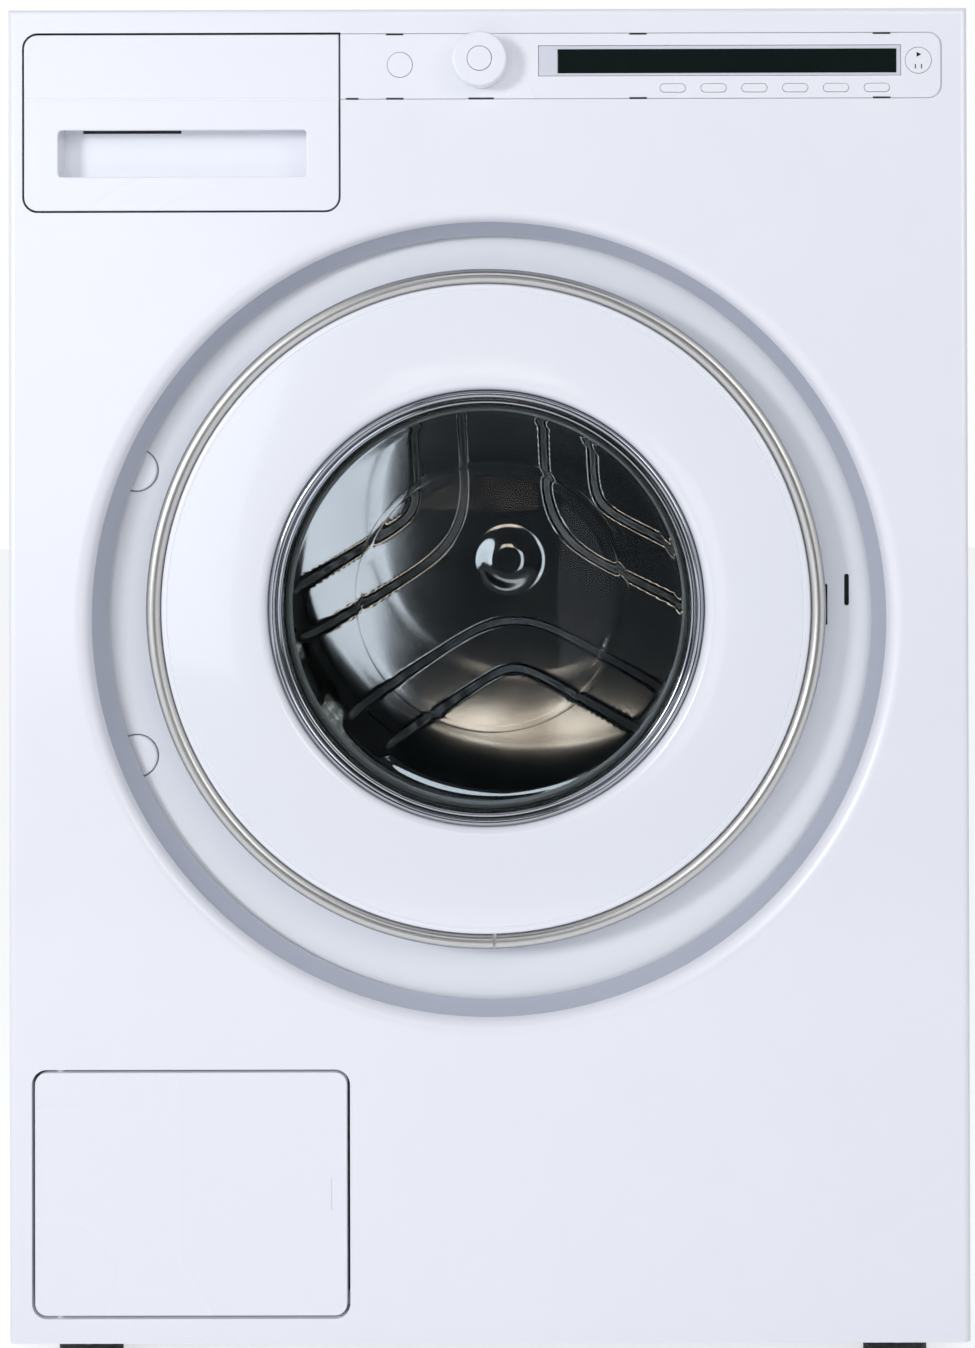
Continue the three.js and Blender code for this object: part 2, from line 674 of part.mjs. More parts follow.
// Screw cap with a grip bar and a hollow stem
function pumpFilter() {
  const back = pump.front - fit;
  const front = back - filter.thickness;
  const y = [back - overrun, pump.front + filter.stemLength];
  const barY = [front - filter.gripHeight, front + overrun];
  const bar = block(around(0, filter.gripWidth), barY, around(0, 2 * filter.radius));
  const disc = rodY(filter.radius, 0, [front, back], 0, facets.medium);
  const grip = meet(bar, rodY(filter.radius, 0, barY, 0, facets.medium));
  return cut(
    join(disc, grip, rodY(filter.stemRadius, 0, y, 0, facets.medium)),
    rodY(filter.stemRadius - filter.stemWall, 0, [back, y[1] + overrun], 0),
  );
}

// Pipe from the pump's outlet through the back panel
function drainOutlet() {
  const start = pump.front + pump.length - pump.outletInset + pump.outletRadius + fit;
  const y = [start, cabinet.depth + drain.proud];
  const flange = [backFace - fit - drain.flangeThickness, backFace - fit];
  return cut(
    join(
      rodY(drain.radius, drain.x, y, drain.height),
      rodY(drain.flangeRadius, drain.x, flange, drain.height),
    ),
    rodY(drain.bore, drain.x, grow(y, overrun), drain.height),
  );
}

function cableGland() {
  const y = [backFace - gland.length, cabinet.depth + gland.proud];
  const flange = [backFace - fit - gland.flangeThickness, backFace - fit];
  return cut(
    join(
      rodY(gland.radius, gland.x, y, gland.height),
      rodY(gland.flangeRadius, gland.x, flange, gland.height),
    ),
    rodY(gland.bore, gland.x, grow(y, overrun), gland.height),
  );
}

// Lines of the tub's front, measured from the drum's axis
const plateY0 = tub.front - fit - cover.wall;
const coverLine = [
  [tub.radius + tub.rim, plateY0], [cover.stepRadius, plateY0],
  [cover.stepRadius - cover.stepSlope, cover.land + cover.stepSlope],
  [cover.landRadius, cover.land], [cover.landInner, cover.land], [cover.throatRadius, cover.throat],
  [cover.mouthRadius, cover.mouth],
];
const ringLine = [
  [ring.outerRadius + ring.edge, ring.face + ring.returnDepth],
  [ring.outerRadius + ring.edge, ring.face + ring.edge],
  [ring.outerRadius, ring.face], [ring.innerRadius, ring.face + ring.fall],
];
const lockZ = around(0, lock.height);
const hingeGap = hinge.doorLength * half + fit;
const hingeReach = hingeGap + hinge.tubLength;

// The point on the tub's wall straight above or below a place
function tubWallZ(x) {
  return Math.sqrt(tub.radius ** 2 - x ** 2);
}

function inTub(x, height) {
  return [x - tub.x, height - tub.height];
}

// A steel vessel with a neck to the sump hose below and a filling neck above
function outerTub() {
  const { radius, wall, front, back, rim } = tub;
  const shell = turned([
    [tub.bore, back], [radius, back], [radius, front + wall], [radius + rim, front + wall],
    [radius + rim, front], [radius - wall, front], [radius - wall, back - wall], [tub.bore, back - wall],
  ], facets.wide);
  const [sumpX] = inTub(sump.x, 0);
  const [spoutInTub] = inTub(spoutX, 0);
  const sumpZ = -tubWallZ(sumpX - sump.neckRadius);
  const sumpEnd = -tubWallZ(sumpX) - sump.tubNeck;
  const fillEnd = tubWallZ(spoutInTub) + fillNeck.rise;
  const inner = rodY(radius - wall * half, 0, [front, back], 0, facets.wide);
  const necks = cut(
    join(
      rodZ(sump.neckRadius, sumpX, sump.y, [sumpEnd, sumpZ + radius * half]),
      rodZ(fillNeck.radius, spoutInTub, spoutY, [0, fillEnd]),
    ),
    inner,
  );
  const backWall = [back - wall - overrun, back + overrun];
  const heaterHoles = [-1, 1].map((side) =>
    rodY(heater.radius + fit, side * heater.spread, backWall, heaterZ),
  );
  return cut(
    join(shell, necks),
    rodZ(sump.neckRadius - sump.neckWall, sumpX, sump.y, [sumpEnd - overrun, 0]),
    rodZ(fillNeck.radius - fillNeck.wall, spoutInTub, spoutY, [0, fillEnd + overrun]),
    ...heaterHoles,
  );
}

const heaterZ = -Math.sqrt(heater.orbit ** 2 - heater.spread ** 2);

// The tub's front wall with the seat for the door's seal, and the posts that hold the hinge pin
function tubFrontCover() {
  const postX = [hinge.x - hinge.postLeft, hinge.x + hinge.knuckle];
  const posts = [-1, 1].flatMap((side) => {
    const z = mirrored([hingeGap, hingeReach], side);
    const post = block(postX, [hinge.y, plateY0 + cover.wall * half], z);
    return [post, rodZ(hinge.knuckle, hinge.x, hinge.y, z)];
  });
  return cut(
    join(turned(bent(coverLine, cover.wall), facets.wide), ...posts),
    rodZ(hinge.pinRadius + fit, hinge.x, hinge.y, around(0, 2 * hingeReach + overrun)),
  );
}

// The pale ring round the door, on bosses that stand on the tub's front wall
function surroundRing() {
  const orbit = (ring.outerRadius + ring.innerRadius) * half;
  const bosses = turns(ring.legs, fullTurn / ring.legs * half).map((angle) => {
    const [x, z] = [orbit * Math.cos(angle), orbit * Math.sin(angle)];
    const y = [lineAt(ringLine, orbit) + ring.wall * half, plateY0 - fit];
    return rodY(ring.legRadius, x, y, z, facets.tiny);
  });
  const capY = lineAt(ringLine, Math.hypot(cap.x, cap.spread));
  const caps = [-1, 1].map((side) =>
    rodY(cap.radius, cap.x, [capY - cap.proud, capY + ring.wall], side * cap.spread, facets.medium),
  );
  const y = [-overrun, ring.face + ring.fall + ring.wall + overrun];
  const hingeX = [hinge.x - hinge.postLeft - latch.play, hinge.x + hinge.knuckle + overrun];
  const hookX = [latch.x - latch.thickness, latch.x + latch.thickness + latch.barb + latch.play];
  return cut(
    join(turned(bent(ringLine, ring.wall)), ...bosses, ...caps),
    block(hingeX, y, around(0, 2 * hingeReach + latch.play)),
    block(hookX, y, around(0, latch.height + 2 * latch.play)),
    block(around(slot.x, slot.width), y, around(slot.rise, slot.height)),
  );
}

// Two saddles under the tub, beams along its sides, four rods in the shock absorbers and the motor's bracket
function tubCradle() {
  const radius = tub.radius + fit;
  const saddles = [shock.frontY, shock.backY].map((y) => {
    const whole = ringOf(radius, radius + cradle.thickness, around(y, cradle.width), facets.wide);
    const clip = [-2 * radius, -cradle.clipShare * radius];
    return meet(whole, block([-radius, radius], around(y, 2 * cradle.width), clip));
  });
  const beamZ = [-cradle.beamDrop - cradle.beamHeight, -cradle.beamDrop];
  const beamY = [shock.frontY - cradle.width * half, shock.backY + cradle.width * half];
  const beams = [-shock.x, shock.x].map((x) => block(around(x - tub.x, cradle.beamWidth), beamY, beamZ));
  const rodZs = [shock.rodBottom - tub.height, beamZ[1] - overrun];
  const rods = rodPlaces.map(([x, y]) => rodZ(cradle.rodRadius, x - tub.x, y, rodZs));
  const bracket = block(
    around(motor.x, motor.bracket),
    around(shock.backY, cradle.width),
    [-motor.drop + motor.radius + fit, -radius],
  );
  const tubRoom = rodY(radius + cradle.thickness * half, 0, [0, tub.back], 0, facets.wide);
  return join(...saddles, ...beams, ...rods, cut(bracket, tubRoom));
}

// A cast slab that follows the top of the tub
function counterweight() {
  const radius = tub.radius + fit;
  const y = [ballast.front, ballast.front + ballast.length];
  const whole = ringOf(radius, radius + ballast.thickness, y, facets.wide);
  return meet(whole, block([ballast.left, ballast.right], y, [0, 2 * radius]));
}

const housingY = [tub.back + fit, tub.back + fit + housing.thickness];

function bearingHousing() {
  const arms = turns(housing.arms, fullTurn / housing.arms * half).map((angle) => {
    const y = [housingY[0], housingY[0] + housing.armThickness];
    return block(around(0, housing.armWidth), y, [0, housing.armReach]).rotateY(angle);
  });
  return cut(
    join(rodY(housing.hubRadius, 0, housingY, 0, facets.medium), ...arms),
    rodY(bearing.outerRadius + fit, 0, grow(housingY, overrun), 0, facets.medium),
  );
}

function drumBearing(from) {
  const y = [from, from + bearing.length];
  return ringOf(bearing.shaftRadius + fit, bearing.outerRadius, y, facets.medium);
}

// A rod bent back on itself in the tub's foot, on a flange outside the tub's back
function heaterElement() {
  const y = [tub.back - heater.length, tub.back + fit + heater.blockThickness * half];
  const legs = [-1, 1].map((side) => rodY(heater.radius, side * heater.spread, y, heaterZ, facets.tiny));
  const bendX = around(0, 2 * (heater.spread + heater.radius));
  const bend = rodX(heater.radius, bendX, y[0] + heater.radius, heaterZ, facets.tiny);
  const blockY = [tub.back + fit, tub.back + fit + heater.blockThickness];
  const plug = block(around(0, heater.blockWidth), blockY, around(heaterZ, heater.blockHeight));
  return join(...legs, bend, plug);
}

const shaftStart = tub.back - motor.shaftDepth;

function driveMotor() {
  return cut(
    rodY(motor.radius, motor.x, [tub.back - motor.length, tub.back], -motor.drop, facets.medium),
    rodY(motor.shaftRadius + fit, motor.x, [shaftStart - fit, tub.back + overrun], -motor.drop),
  );
}

function motorPulley() {
  const [from, to] = around(belt.y, belt.width + 2 * fit + motor.pulleyEdge);
  return turned([
    [0, shaftStart], [motor.shaftRadius, shaftStart], [motor.shaftRadius, from], [motor.pulleyRadius, from],
    [motor.pulleyRadius, to], [0, to],
  ], facets.small);
}

// The belt's line round both pulleys, as seen along the axis, with its chords clear of their rims
function beltLine(by) {
  const distance = Math.hypot(motor.drop, motor.x);
  const toMotor = Math.atan2(-motor.drop, motor.x);
  const lean = Math.acos((pulley.radius - motor.pulleyRadius) / distance);
  const big = (pulley.radius + fit) / Math.cos((fullTurn * half - lean) / facets.wide) + by;
  const small = (motor.pulleyRadius + fit) / Math.cos(lean / facets.tiny) + by;
  return [
    ...arc(0, 0, big, toMotor + lean, toMotor - lean + fullTurn, facets.wide),
    ...arc(motor.x, -motor.drop, small, toMotor - lean, toMotor + lean, facets.tiny),
  ];
}

function driveBelt() {
  return plateY(beltLine(belt.thickness), around(belt.y, belt.width), beltLine(0));
}

// Ribbed hose sleeved over the pump's neck and the tub's neck
function sumpHose() {
  const [sumpX] = inTub(sump.x, 0);
  const tubEnd = tub.height - tubWallZ(sumpX) - sump.tubNeck;
  const z = [sump.pumpNeckTop - sump.sleeve, tubEnd + sump.sleeve];
  const bore = sump.neckRadius + fit;
  const outer = bore + sump.hoseWall;
  const pitch = (z[1] - z[0] - 2 * sump.sleeve) / hose.ribs;
  const ribs = Array.from({ length: hose.ribs }, (_, i) => {
    const foot = z[0] + sump.sleeve + i * pitch;
    return [[outer, foot], [outer + hose.ribHeight, foot + pitch * half]];
  });
  const section = [
    [outer, z[0]], ...ribs.flat(), [outer, z[1] - sump.sleeve], [outer, z[1]], [bore, z[1]], [bore, z[0]],
  ];
  return turned(section, facets.small).rotateX(quarterTurn);
}

// Rolled shell, front and back in one welded piece, with the pressed arms and the lifters
function drumShell() {
  const { radius, wall, front, back, mouth, lip, round } = drum;
  const line = [
    [0, back], [radius - round, back], [radius, back - round], [radius, front + round],
    [radius - round, front],
    [mouth + round, front], [mouth, front + round], [mouth, front + lip],
  ];
  const face = back - wall;
  const angles = turns(drum.arms, quarterTurn);
  const arms = angles.map((angle) => {
    const outline = [
      [-drum.armWidth * half, 0], [drum.armWidth * half, 0],
      [drum.armFlare * half, drum.armReach], [-drum.armFlare * half, drum.armReach],
    ];
    return plateY(outline, [face - drum.armRise, back - wall * half]).rotateY(quarterTurn - angle);
  });
  const hub = turned([
    [0, face - drum.hubRise], [drum.hubRadius - drum.hubRise * half, face - drum.hubRise],
    [drum.hubRadius, face - drum.hubRise * half], [drum.hubRadius, back - wall * half],
    [0, back - wall * half],
  ], facets.medium);
  const bars = angles.map((angle) => drumLifter().rotateY(quarterTurn - angle));
  return join(turned(bent(line, wall), facets.wide), ...arms, hub, ...bars);
}

// A low bar along the drum, drawn in at its waist
function drumLifter() {
  const inner = drum.radius - drum.wall;
  const wide = lifter.width * half;
  const waist = wide * lifter.waistShare;
  const y = [lifter.start, lifter.start + lifter.length];
  const middle = (y[0] + y[1]) * half;
  const bevel = lifter.bevel;
  const outline = [
    [-wide, y[0]], [wide, y[0]], [waist, middle], [wide, y[1]], [-wide, y[1]], [-waist, middle],
  ].map(([x, along]) => [x - Math.sign(x) * bevel, along + Math.sign(middle - along) * bevel]);
  const depth = lifter.height;
  const bar = new THREE.ExtrudeGeometry(shapeOf(outline), {
    depth, bevelEnabled: true, bevelThickness: bevel, bevelSize: bevel, bevelSegments: 1,
  });
  bar.translate(0, 0, inner - lifter.height + bevel);
  return meet(bar, rodY(inner + drum.wall * half, 0, grow(y, overrun), 0, facets.wide));
}

// Spider on the drum's back and the shaft through the bearings
function drumShaft() {
  const y = [drum.back + fit, drum.back + fit + spider.thickness];
  const shoulder = belt.y - pulley.hubWidth * half - fit;
  const end = belt.y + pulley.hubWidth * half + fit;
  const arms = turns(drum.arms, 0).map((angle) =>
    block(around(0, spider.armWidth), y, [0, spider.armReach]).rotateY(angle),
  );
  const shaft = turned([
    [0, y[0]], [spider.hubRadius, y[0]], [spider.hubRadius, y[1]], [bearing.shaftRadius, y[1] + fit],
    [bearing.shaftRadius, shoulder], [pulley.bore - fit, shoulder], [pulley.bore - fit, end], [0, end],
  ], facets.medium);
  return join(shaft, ...arms);
}

function drumPulley() {
  const hubY = around(belt.y, pulley.hubWidth);
  const webY = around(belt.y, pulley.web);
  const spokes = turns(pulley.spokes, 0).map((angle) =>
    block(around(0, pulley.spokeWidth), webY, [0, pulley.radius - pulley.rim * half]).rotateY(angle),
  );
  return cut(
    join(
      ringOf(pulley.radius - pulley.rim, pulley.radius, around(belt.y, pulley.width), facets.wide),
      rodY(pulley.hubRadius, 0, hubY, 0, facets.medium),
      ...spokes,
    ),
    rodY(pulley.bore, 0, grow(hubY, overrun), 0, facets.medium),
  );
}

// Door pieces, turned about the drum's axis
const trimBack = trim.front + trim.thickness;
const trimInner = trim.outerRadius - trim.width;
const frameOuter = trimInner - fit;
const rimOuter = frame.windowRadius - fit;
const rimBack = rim.front + rim.fall + rim.thickness;

function doorTrimRing() {
  const middle = trim.outerRadius - trim.width * half;
  const crown = arc(0, 0, 1, 0, 2 * quarterTurn, facets.corner * 2).map(([c, s]) => [
    middle + trim.width * half * c, trimBack - trim.thickness * s,
  ]);
  return turned(crown);
}

function doorFrame() {
  const flangeY = [trimBack + fit, trimBack + fit + frame.flange];
  const flangeRadius = trim.outerRadius - frame.flangeLap;
  const ringBody = turned([
    [frameOuter, flangeY[0]], [frameOuter, frame.front + frame.edge], [frameOuter - frame.edge, frame.front],
    [frame.windowRadius + frame.windowFall, frame.front + frame.edge],
    [frame.windowRadius, frame.front + frame.windowFall], [frame.windowRadius, frame.back],
    [frame.backRadius, frame.back], [frame.backRadius, flangeY[1]],
    [flangeRadius, flangeY[1]], [flangeRadius, flangeY[0]],
  ]);
  const notch = block(
    [hinge.x - trim.width, hinge.x + hinge.knuckle + latch.play],
    [flangeY[0] - fit * half, frame.back + overrun],
    around(0, 2 * (hingeReach + latch.play)),
  );
  const z = around(0, hinge.doorLength);
  return cut(
    join(
      cut(ringBody, notch),
      rodZ(hinge.knuckle, hinge.x, hinge.y, z),
      block([hinge.x, -frame.backRadius + overrun], around(hinge.y, hinge.arm), z),
    ),
    rodZ(hinge.pinRadius + fit, hinge.x, hinge.y, grow(z, overrun)),
  );
}

function windowRim() {
  const inner = rimOuter - rim.width;
  return turned([
    [rimOuter, rim.front], [rimOuter - rim.thickness * half, rim.front], [inner, rim.front + rim.fall],
    [inner, rimBack], [rimOuter, rimBack],
  ]);
}

// Bowl with a flat flange behind the rim
function doorGlass() {
  const y = rimBack + fit;
  const { thickness, throat, base: foot, depth, round, roundSteps } = glass;
  const end = y + depth;
  const inside = [
    [rimOuter, y], [throat, y], [foot, end - round],
    ...arc(foot - round, end - round, round, 0, quarterTurn, roundSteps).slice(1), [0, end],
  ];
  return turned(bent(inside, thickness));
}

// Flat ring behind the frame, with a bead that meets the tub's front
function doorSeal() {
  const y = frame.back + fit;
  const reach = [seal.beadInner, seal.beadOuter].map((r) => lineAt(coverLine, r) - fit);
  return turned([
    [seal.inner, y], [seal.beadOuter, y], [seal.beadOuter, reach[1]], [seal.beadInner, reach[0]],
    [seal.beadInner, y + seal.thickness], [seal.inner, y + seal.thickness],
  ], facets.wide);
}

function hingePin() {
  return rodZ(hinge.pinRadius, 0, 0, around(0, 2 * hingeReach));
}

// Foot on the door's back, arm through the ring, and the barb that the lock holds
function latchHook() {
  const y = frame.back + fit;
  const arm = [latch.x - latch.thickness, latch.x + latch.thickness];
  const end = y + latch.reach;
  return join(
    block([latch.x - latch.baseWidth, arm[1]], [y, y + latch.thickness], around(0, latch.height)),
    block(arm, [y, end], around(0, latch.width)),
    block([arm[0], arm[1] + latch.barb], [end - latch.barb, end], around(0, latch.width)),
  );
}

function doorLock() {
  const y = [lock.front, plateY0 - fit];
  const pocket = block(
    [lock.left - overrun, latch.x + latch.thickness + latch.barb + latch.play],
    [lock.front - overrun, frame.back + latch.reach + lock.pocket],
    around(0, latch.height),
  );
  return cut(block([lock.left, lock.right], y, lockZ), pocket);
}

// Assembly: the casing stands still, the washing unit rides on the shock absorbers
const lowest = knobFront - knobButton.proud;
const farthest = cabinet.depth + Math.max(inlet.proud, drain.proud, gland.proud);
washer.position.y = -(lowest + farthest) * half;

const casing = groupIn(washer);
piece(casing, "front_panel", "whiteEnamel", frontPanel());
piece(casing, "left_side_panel", "whiteEnamel", sidePanel(-1));
piece(casing, "right_side_panel", "whiteEnamel", sidePanel(1));
piece(casing, "back_panel", "zincSteel", backPanel());
piece(casing, "top_panel", "whiteEnamel", topPanel());
piece(casing, "base_plate", "zincSteel", basePlate());
footPlaces.forEach(([x, y], i) => piece(casing, `foot_${corners[i]}`, "blackRubber", levellingFoot(), x, y));
rodPlaces.forEach(([x, y], i) => {
  piece(casing, `shock_cylinder_${corners[i]}`, "zincSteel", shockCylinder(), x, y);
});

const controls = groupIn(washer, 0, 0, stripZ[0]);
piece(casing, "control_panel", "whitePlastic", controlPanel());
piece(casing, "display_window", "darkGlass", displayWindow());
piece(casing, "control_board", "circuitBoard", controlBoard());
piece(controls, "power_button", "whitePlastic", roundButton(power.radius), power.x, 0, power.rise);
piece(controls, "start_button", "whitePlastic", roundButton(start.radius), start.x, 0, start.rise);
optionPlaces.forEach((x, i) => {
  piece(controls, `option_button_${i + 1}`, "whitePlastic", optionButton(), x, 0, option.rise);
});
const selector = groupIn(controls, knob.x, 0, knob.rise);
piece(selector, "programme_knob", "whitePlastic", programmeKnob());
piece(selector, "knob_button", "whitePlastic", knobCentre());

piece(casing, "drawer_front", "whitePlastic", drawerFront());
piece(casing, "drawer_tray", "greyPlastic", drawerTray());
piece(casing, "dispenser_housing", "greyPlastic", dispenserHousing());
piece(casing, "inlet_valve", "blackPlastic", inletValve());
piece(casing, "service_flap", "whitePlastic", serviceFlap());
piece(casing, "drain_pump", "blackPlastic", drainPump());
piece(casing, "pump_filter", "whitePlastic", pumpFilter(), pump.x, 0, pump.height);
piece(casing, "drain_outlet", "greyPlastic", drainOutlet());
piece(casing, "cable_gland", "blackPlastic", cableGland());
piece(casing, "sump_hose", "greyRubber", sumpHose(), sump.x, sump.y);

const unit = groupIn(washer, tub.x, 0, tub.height);
piece(unit, "outer_tub", "zincSteel", outerTub());
piece(unit, "tub_front_cover", "zincSteel", tubFrontCover());
piece(unit, "surround_ring", "paleRing", surroundRing());
piece(unit, "tub_cradle", "zincSteel", tubCradle());
piece(unit, "counterweight", "concrete", counterweight());
piece(unit, "bearing_housing", "castAluminium", bearingHousing());
piece(unit, "front_bearing", "zincSteel", drumBearing(housingY[0] + fit));
piece(unit, "rear_bearing", "zincSteel", drumBearing(housingY[1] - bearing.length));
piece(unit, "heater_element", "zincSteel", heaterElement());
piece(unit, "motor", "castAluminium", driveMotor());
piece(unit, "motor_pulley", "zincSteel", motorPulley(), motor.x, 0, -motor.drop);
piece(unit, "drive_belt", "blackRubber", driveBelt());
piece(unit, "door_lock", "blackPlastic", doorLock());
piece(unit, "hinge_pin", "zincSteel", hingePin(), hinge.x, hinge.y);

const rotor = groupIn(unit);
piece(rotor, "drum_shell", "drumSteel", drumShell());
piece(rotor, "drum_shaft", "castAluminium", drumShaft());
piece(rotor, "drum_pulley", "castAluminium", drumPulley());

const door = groupIn(unit);
piece(door, "door_frame", "whitePlastic", doorFrame());
piece(door, "door_trim_ring", "brushedSteel", doorTrimRing());
piece(door, "window_rim", "chrome", windowRim());
piece(door, "door_glass", "clearGlass", doorGlass());
piece(door, "door_seal", "greyRubber", doorSeal());
piece(door, "latch_hook", "zincSteel", latchHook());

export default washer;
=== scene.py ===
# %% [markdown]
# Dressing a front-loading washing machine.
# The machine's construction is finished before this script starts: every panel, bearing and button is there at
# its real size, in metres, with +Z up and the door facing -Y. Round pieces in it have only a few flat faces.
# This lesson gives the machine its surfaces. Each piece that shows is either made again as a fine mesh in the
# same place, or keeps its mesh and gets a finish of shader nodes.

# %% Load the frame and name its places
import json
import math

import bmesh
import bpy
from mathutils import Matrix, Vector


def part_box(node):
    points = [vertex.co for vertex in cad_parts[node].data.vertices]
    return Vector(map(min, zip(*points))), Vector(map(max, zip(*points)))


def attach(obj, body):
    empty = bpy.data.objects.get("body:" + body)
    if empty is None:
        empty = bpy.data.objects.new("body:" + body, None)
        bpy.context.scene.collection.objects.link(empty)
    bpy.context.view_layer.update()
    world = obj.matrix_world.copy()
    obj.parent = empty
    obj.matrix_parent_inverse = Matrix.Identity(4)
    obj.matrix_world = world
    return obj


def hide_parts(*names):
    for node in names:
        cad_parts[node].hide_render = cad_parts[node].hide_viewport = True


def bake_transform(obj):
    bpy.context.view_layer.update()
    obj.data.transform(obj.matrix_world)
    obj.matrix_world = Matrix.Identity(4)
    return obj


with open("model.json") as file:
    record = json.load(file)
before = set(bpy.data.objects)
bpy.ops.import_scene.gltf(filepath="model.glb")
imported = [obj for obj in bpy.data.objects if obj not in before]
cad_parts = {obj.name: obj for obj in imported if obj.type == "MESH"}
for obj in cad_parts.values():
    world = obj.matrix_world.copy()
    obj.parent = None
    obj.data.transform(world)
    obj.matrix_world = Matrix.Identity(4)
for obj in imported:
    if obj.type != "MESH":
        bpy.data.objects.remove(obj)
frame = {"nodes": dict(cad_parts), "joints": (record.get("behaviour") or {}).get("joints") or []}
nodes = frame["nodes"]
joints = {joint["name"]: joint for joint in frame["joints"]}
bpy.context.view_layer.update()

# %% [markdown]
# Lengths in this script are written in millimetres, as on a drawing, and turned to metres where a mesh is made.
# X and Z are the frame's own. Depth is counted from the front panel's outer face towards the back, because every
# piece on the front is set out from that face. The drum's axis comes from the joint that the drum turns on.

# %% Millimetres, the front face and the drum's axis
MM = 0.001
WELD = 0.002 * MM
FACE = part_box("front_panel")[0].y
DRUM_X, _, DRUM_Z = joints["drum_spin"]["pos_m"]


def point(x, depth, z):
    """A place given in millimetres, with its depth behind the front face."""
    return Vector((x * MM, FACE + depth * MM, z * MM))


def reach(node):
    """A node's box in millimetres: the ranges of x, depth and z."""
    low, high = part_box(node)
    ranges = zip(low - Vector((0, FACE, 0)), high - Vector((0, FACE, 0)))
    return [(a / MM, b / MM) for a, b in ranges]


AXIS = (DRUM_X / MM, DRUM_Z / MM)
print("drum axis at", AXIS, "mm")

# %% [markdown]
# A piece of this machine is either turned, like the door's rings, or a plate with round corners, like the drawer.
# A turned piece starts as a wire section that bmesh spins about an axis, and a plate starts as one square face
# whose corners are bevelled before it is extruded. Openings are cut with the Boolean modifier, because a real
# press or mould makes them in one piece with the panel.

# %% Turned pieces, plates, easing of edges and cutting
TURN = 192
ROUND = 10


def arc(x, y, radius, start, end, steps=8):
    """Points on a circle, from one angle in degrees to another."""
    angles = [math.radians(start + (end - start) * i / steps) for i in range(steps + 1)]
    return [(x + radius * math.cos(a), y + radius * math.sin(a)) for a in angles]


def turned(places, centre, axis, steps, closed=False):
    """A line of places turned about an axis, and closed to a loop first where its ends lie off the axis."""
    bm = bmesh.new()
    verts = [bm.verts.new(place) for place in places]
    edges = [bm.edges.new(pair) for pair in zip(verts, verts[1:])]
    if closed:
        edges.append(bm.edges.new((verts[-1], verts[0])))
    bmesh.ops.spin(
        bm, geom=verts + edges, cent=centre, axis=axis, angle=math.tau, steps=steps, use_merge=True
    )
    bmesh.ops.remove_doubles(bm, verts=bm.verts, dist=WELD)
    bmesh.ops.recalc_face_normals(bm, faces=bm.faces)
    return bm


def spun(section, centre=AXIS, steps=TURN, closed=True):
    """A section of (radius, depth) points turned about an axis that runs back from the front."""
    x, z = centre
    places = [point(x + radius, depth, z) for radius, depth in section]
    return turned(places, point(x, 0, z), (0, 1, 0), steps, closed and section[0][0] and section[-1][0])


def plate(x, z, depth, corner=0.0, corners=(1, 1, 1, 1)):
    """A bar with round corners, given by its ranges of x, z and depth. Corners run from lower left round."""
    bm = bmesh.new()
    bmesh.ops.create_grid(bm, x_segments=1, y_segments=1, size=0.5)
    bmesh.ops.rotate(bm, verts=bm.verts, matrix=Matrix.Rotation(math.pi / 2, 3, "X"))
    bmesh.ops.scale(bm, verts=bm.verts, vec=((x[1] - x[0]) * MM, 1, (z[1] - z[0]) * MM))
    middle = point((x[0] + x[1]) / 2, depth[0], (z[0] + z[1]) / 2)
    bmesh.ops.translate(bm, verts=bm.verts, vec=middle)
    order = [(False, False), (True, False), (True, True), (False, True)]
    chosen = [side for side, wanted in zip(order, corners) if wanted]
    tips = [v for v in bm.verts if (v.co.x > middle.x, v.co.z > middle.z) in chosen]
    if corner and tips:
        bmesh.ops.bevel(
            bm, geom=tips, offset=corner * MM, offset_type="OFFSET", segments=ROUND, profile=0.5,
            affect="VERTICES", material=-1,
        )
    raised = bmesh.ops.extrude_face_region(bm, geom=bm.faces[:])["geom"]
    moved = [v for v in raised if isinstance(v, bmesh.types.BMVert)]
    bmesh.ops.translate(bm, verts=moved, vec=(0, (depth[1] - depth[0]) * MM, 0))
    bmesh.ops.recalc_face_normals(bm, faces=bm.faces)
    return bm


def bar(middle, radius, length, segments=32):
    """An upright round bar about a place, or a hexagon where it has six segments."""
    bm = bmesh.new()
    bmesh.ops.create_cone(
        bm, cap_ends=True, segments=segments, radius1=radius * MM, radius2=radius * MM, depth=length * MM,
        matrix=Matrix.Translation(middle),
    )
    return bm


def ease(bm, width, angle=40, segments=3, where=lambda edge: True):
    """Rounds the edges where two faces meet at more than an angle."""
    limit = math.radians(angle)
    sharp = [e for e in bm.edges if len(e.link_faces) == 2 and e.calc_face_angle() > limit and where(e)]
    bmesh.ops.bevel(
        bm, geom=sharp, offset=width * MM, offset_type="OFFSET", segments=segments, profile=0.5,
        affect="EDGES", clamp_overlap=True, material=-1,
    )
    return bm


def as_object(bm, name):
    """A bmesh as an object at the origin."""
    mesh = bpy.data.meshes.new(name)
    bm.to_mesh(mesh)
    bm.free()
    thing = bpy.data.objects.new(name, mesh)
    bpy.context.scene.collection.objects.link(thing)
    return thing


def combine(bm, *others, operation="DIFFERENCE"):
    """A bmesh cut by the others, or joined with them, through the Boolean modifier."""
    target = as_object(bm, "target")
    tools = [as_object(other, "tool") for other in others]
    for tool in tools:
        modifier = target.modifiers.new("combine", "BOOLEAN")
        modifier.operation = operation
        modifier.solver = "EXACT"
        modifier.object = tool
    result = bmesh.new()
    result.from_object(target, bpy.context.evaluated_depsgraph_get())
    for thing in [target, *tools]:
        mesh = thing.data
        bpy.data.objects.remove(thing)
        bpy.data.meshes.remove(mesh)
    bmesh.ops.remove_doubles(result, verts=result.verts, dist=WELD)
    return result


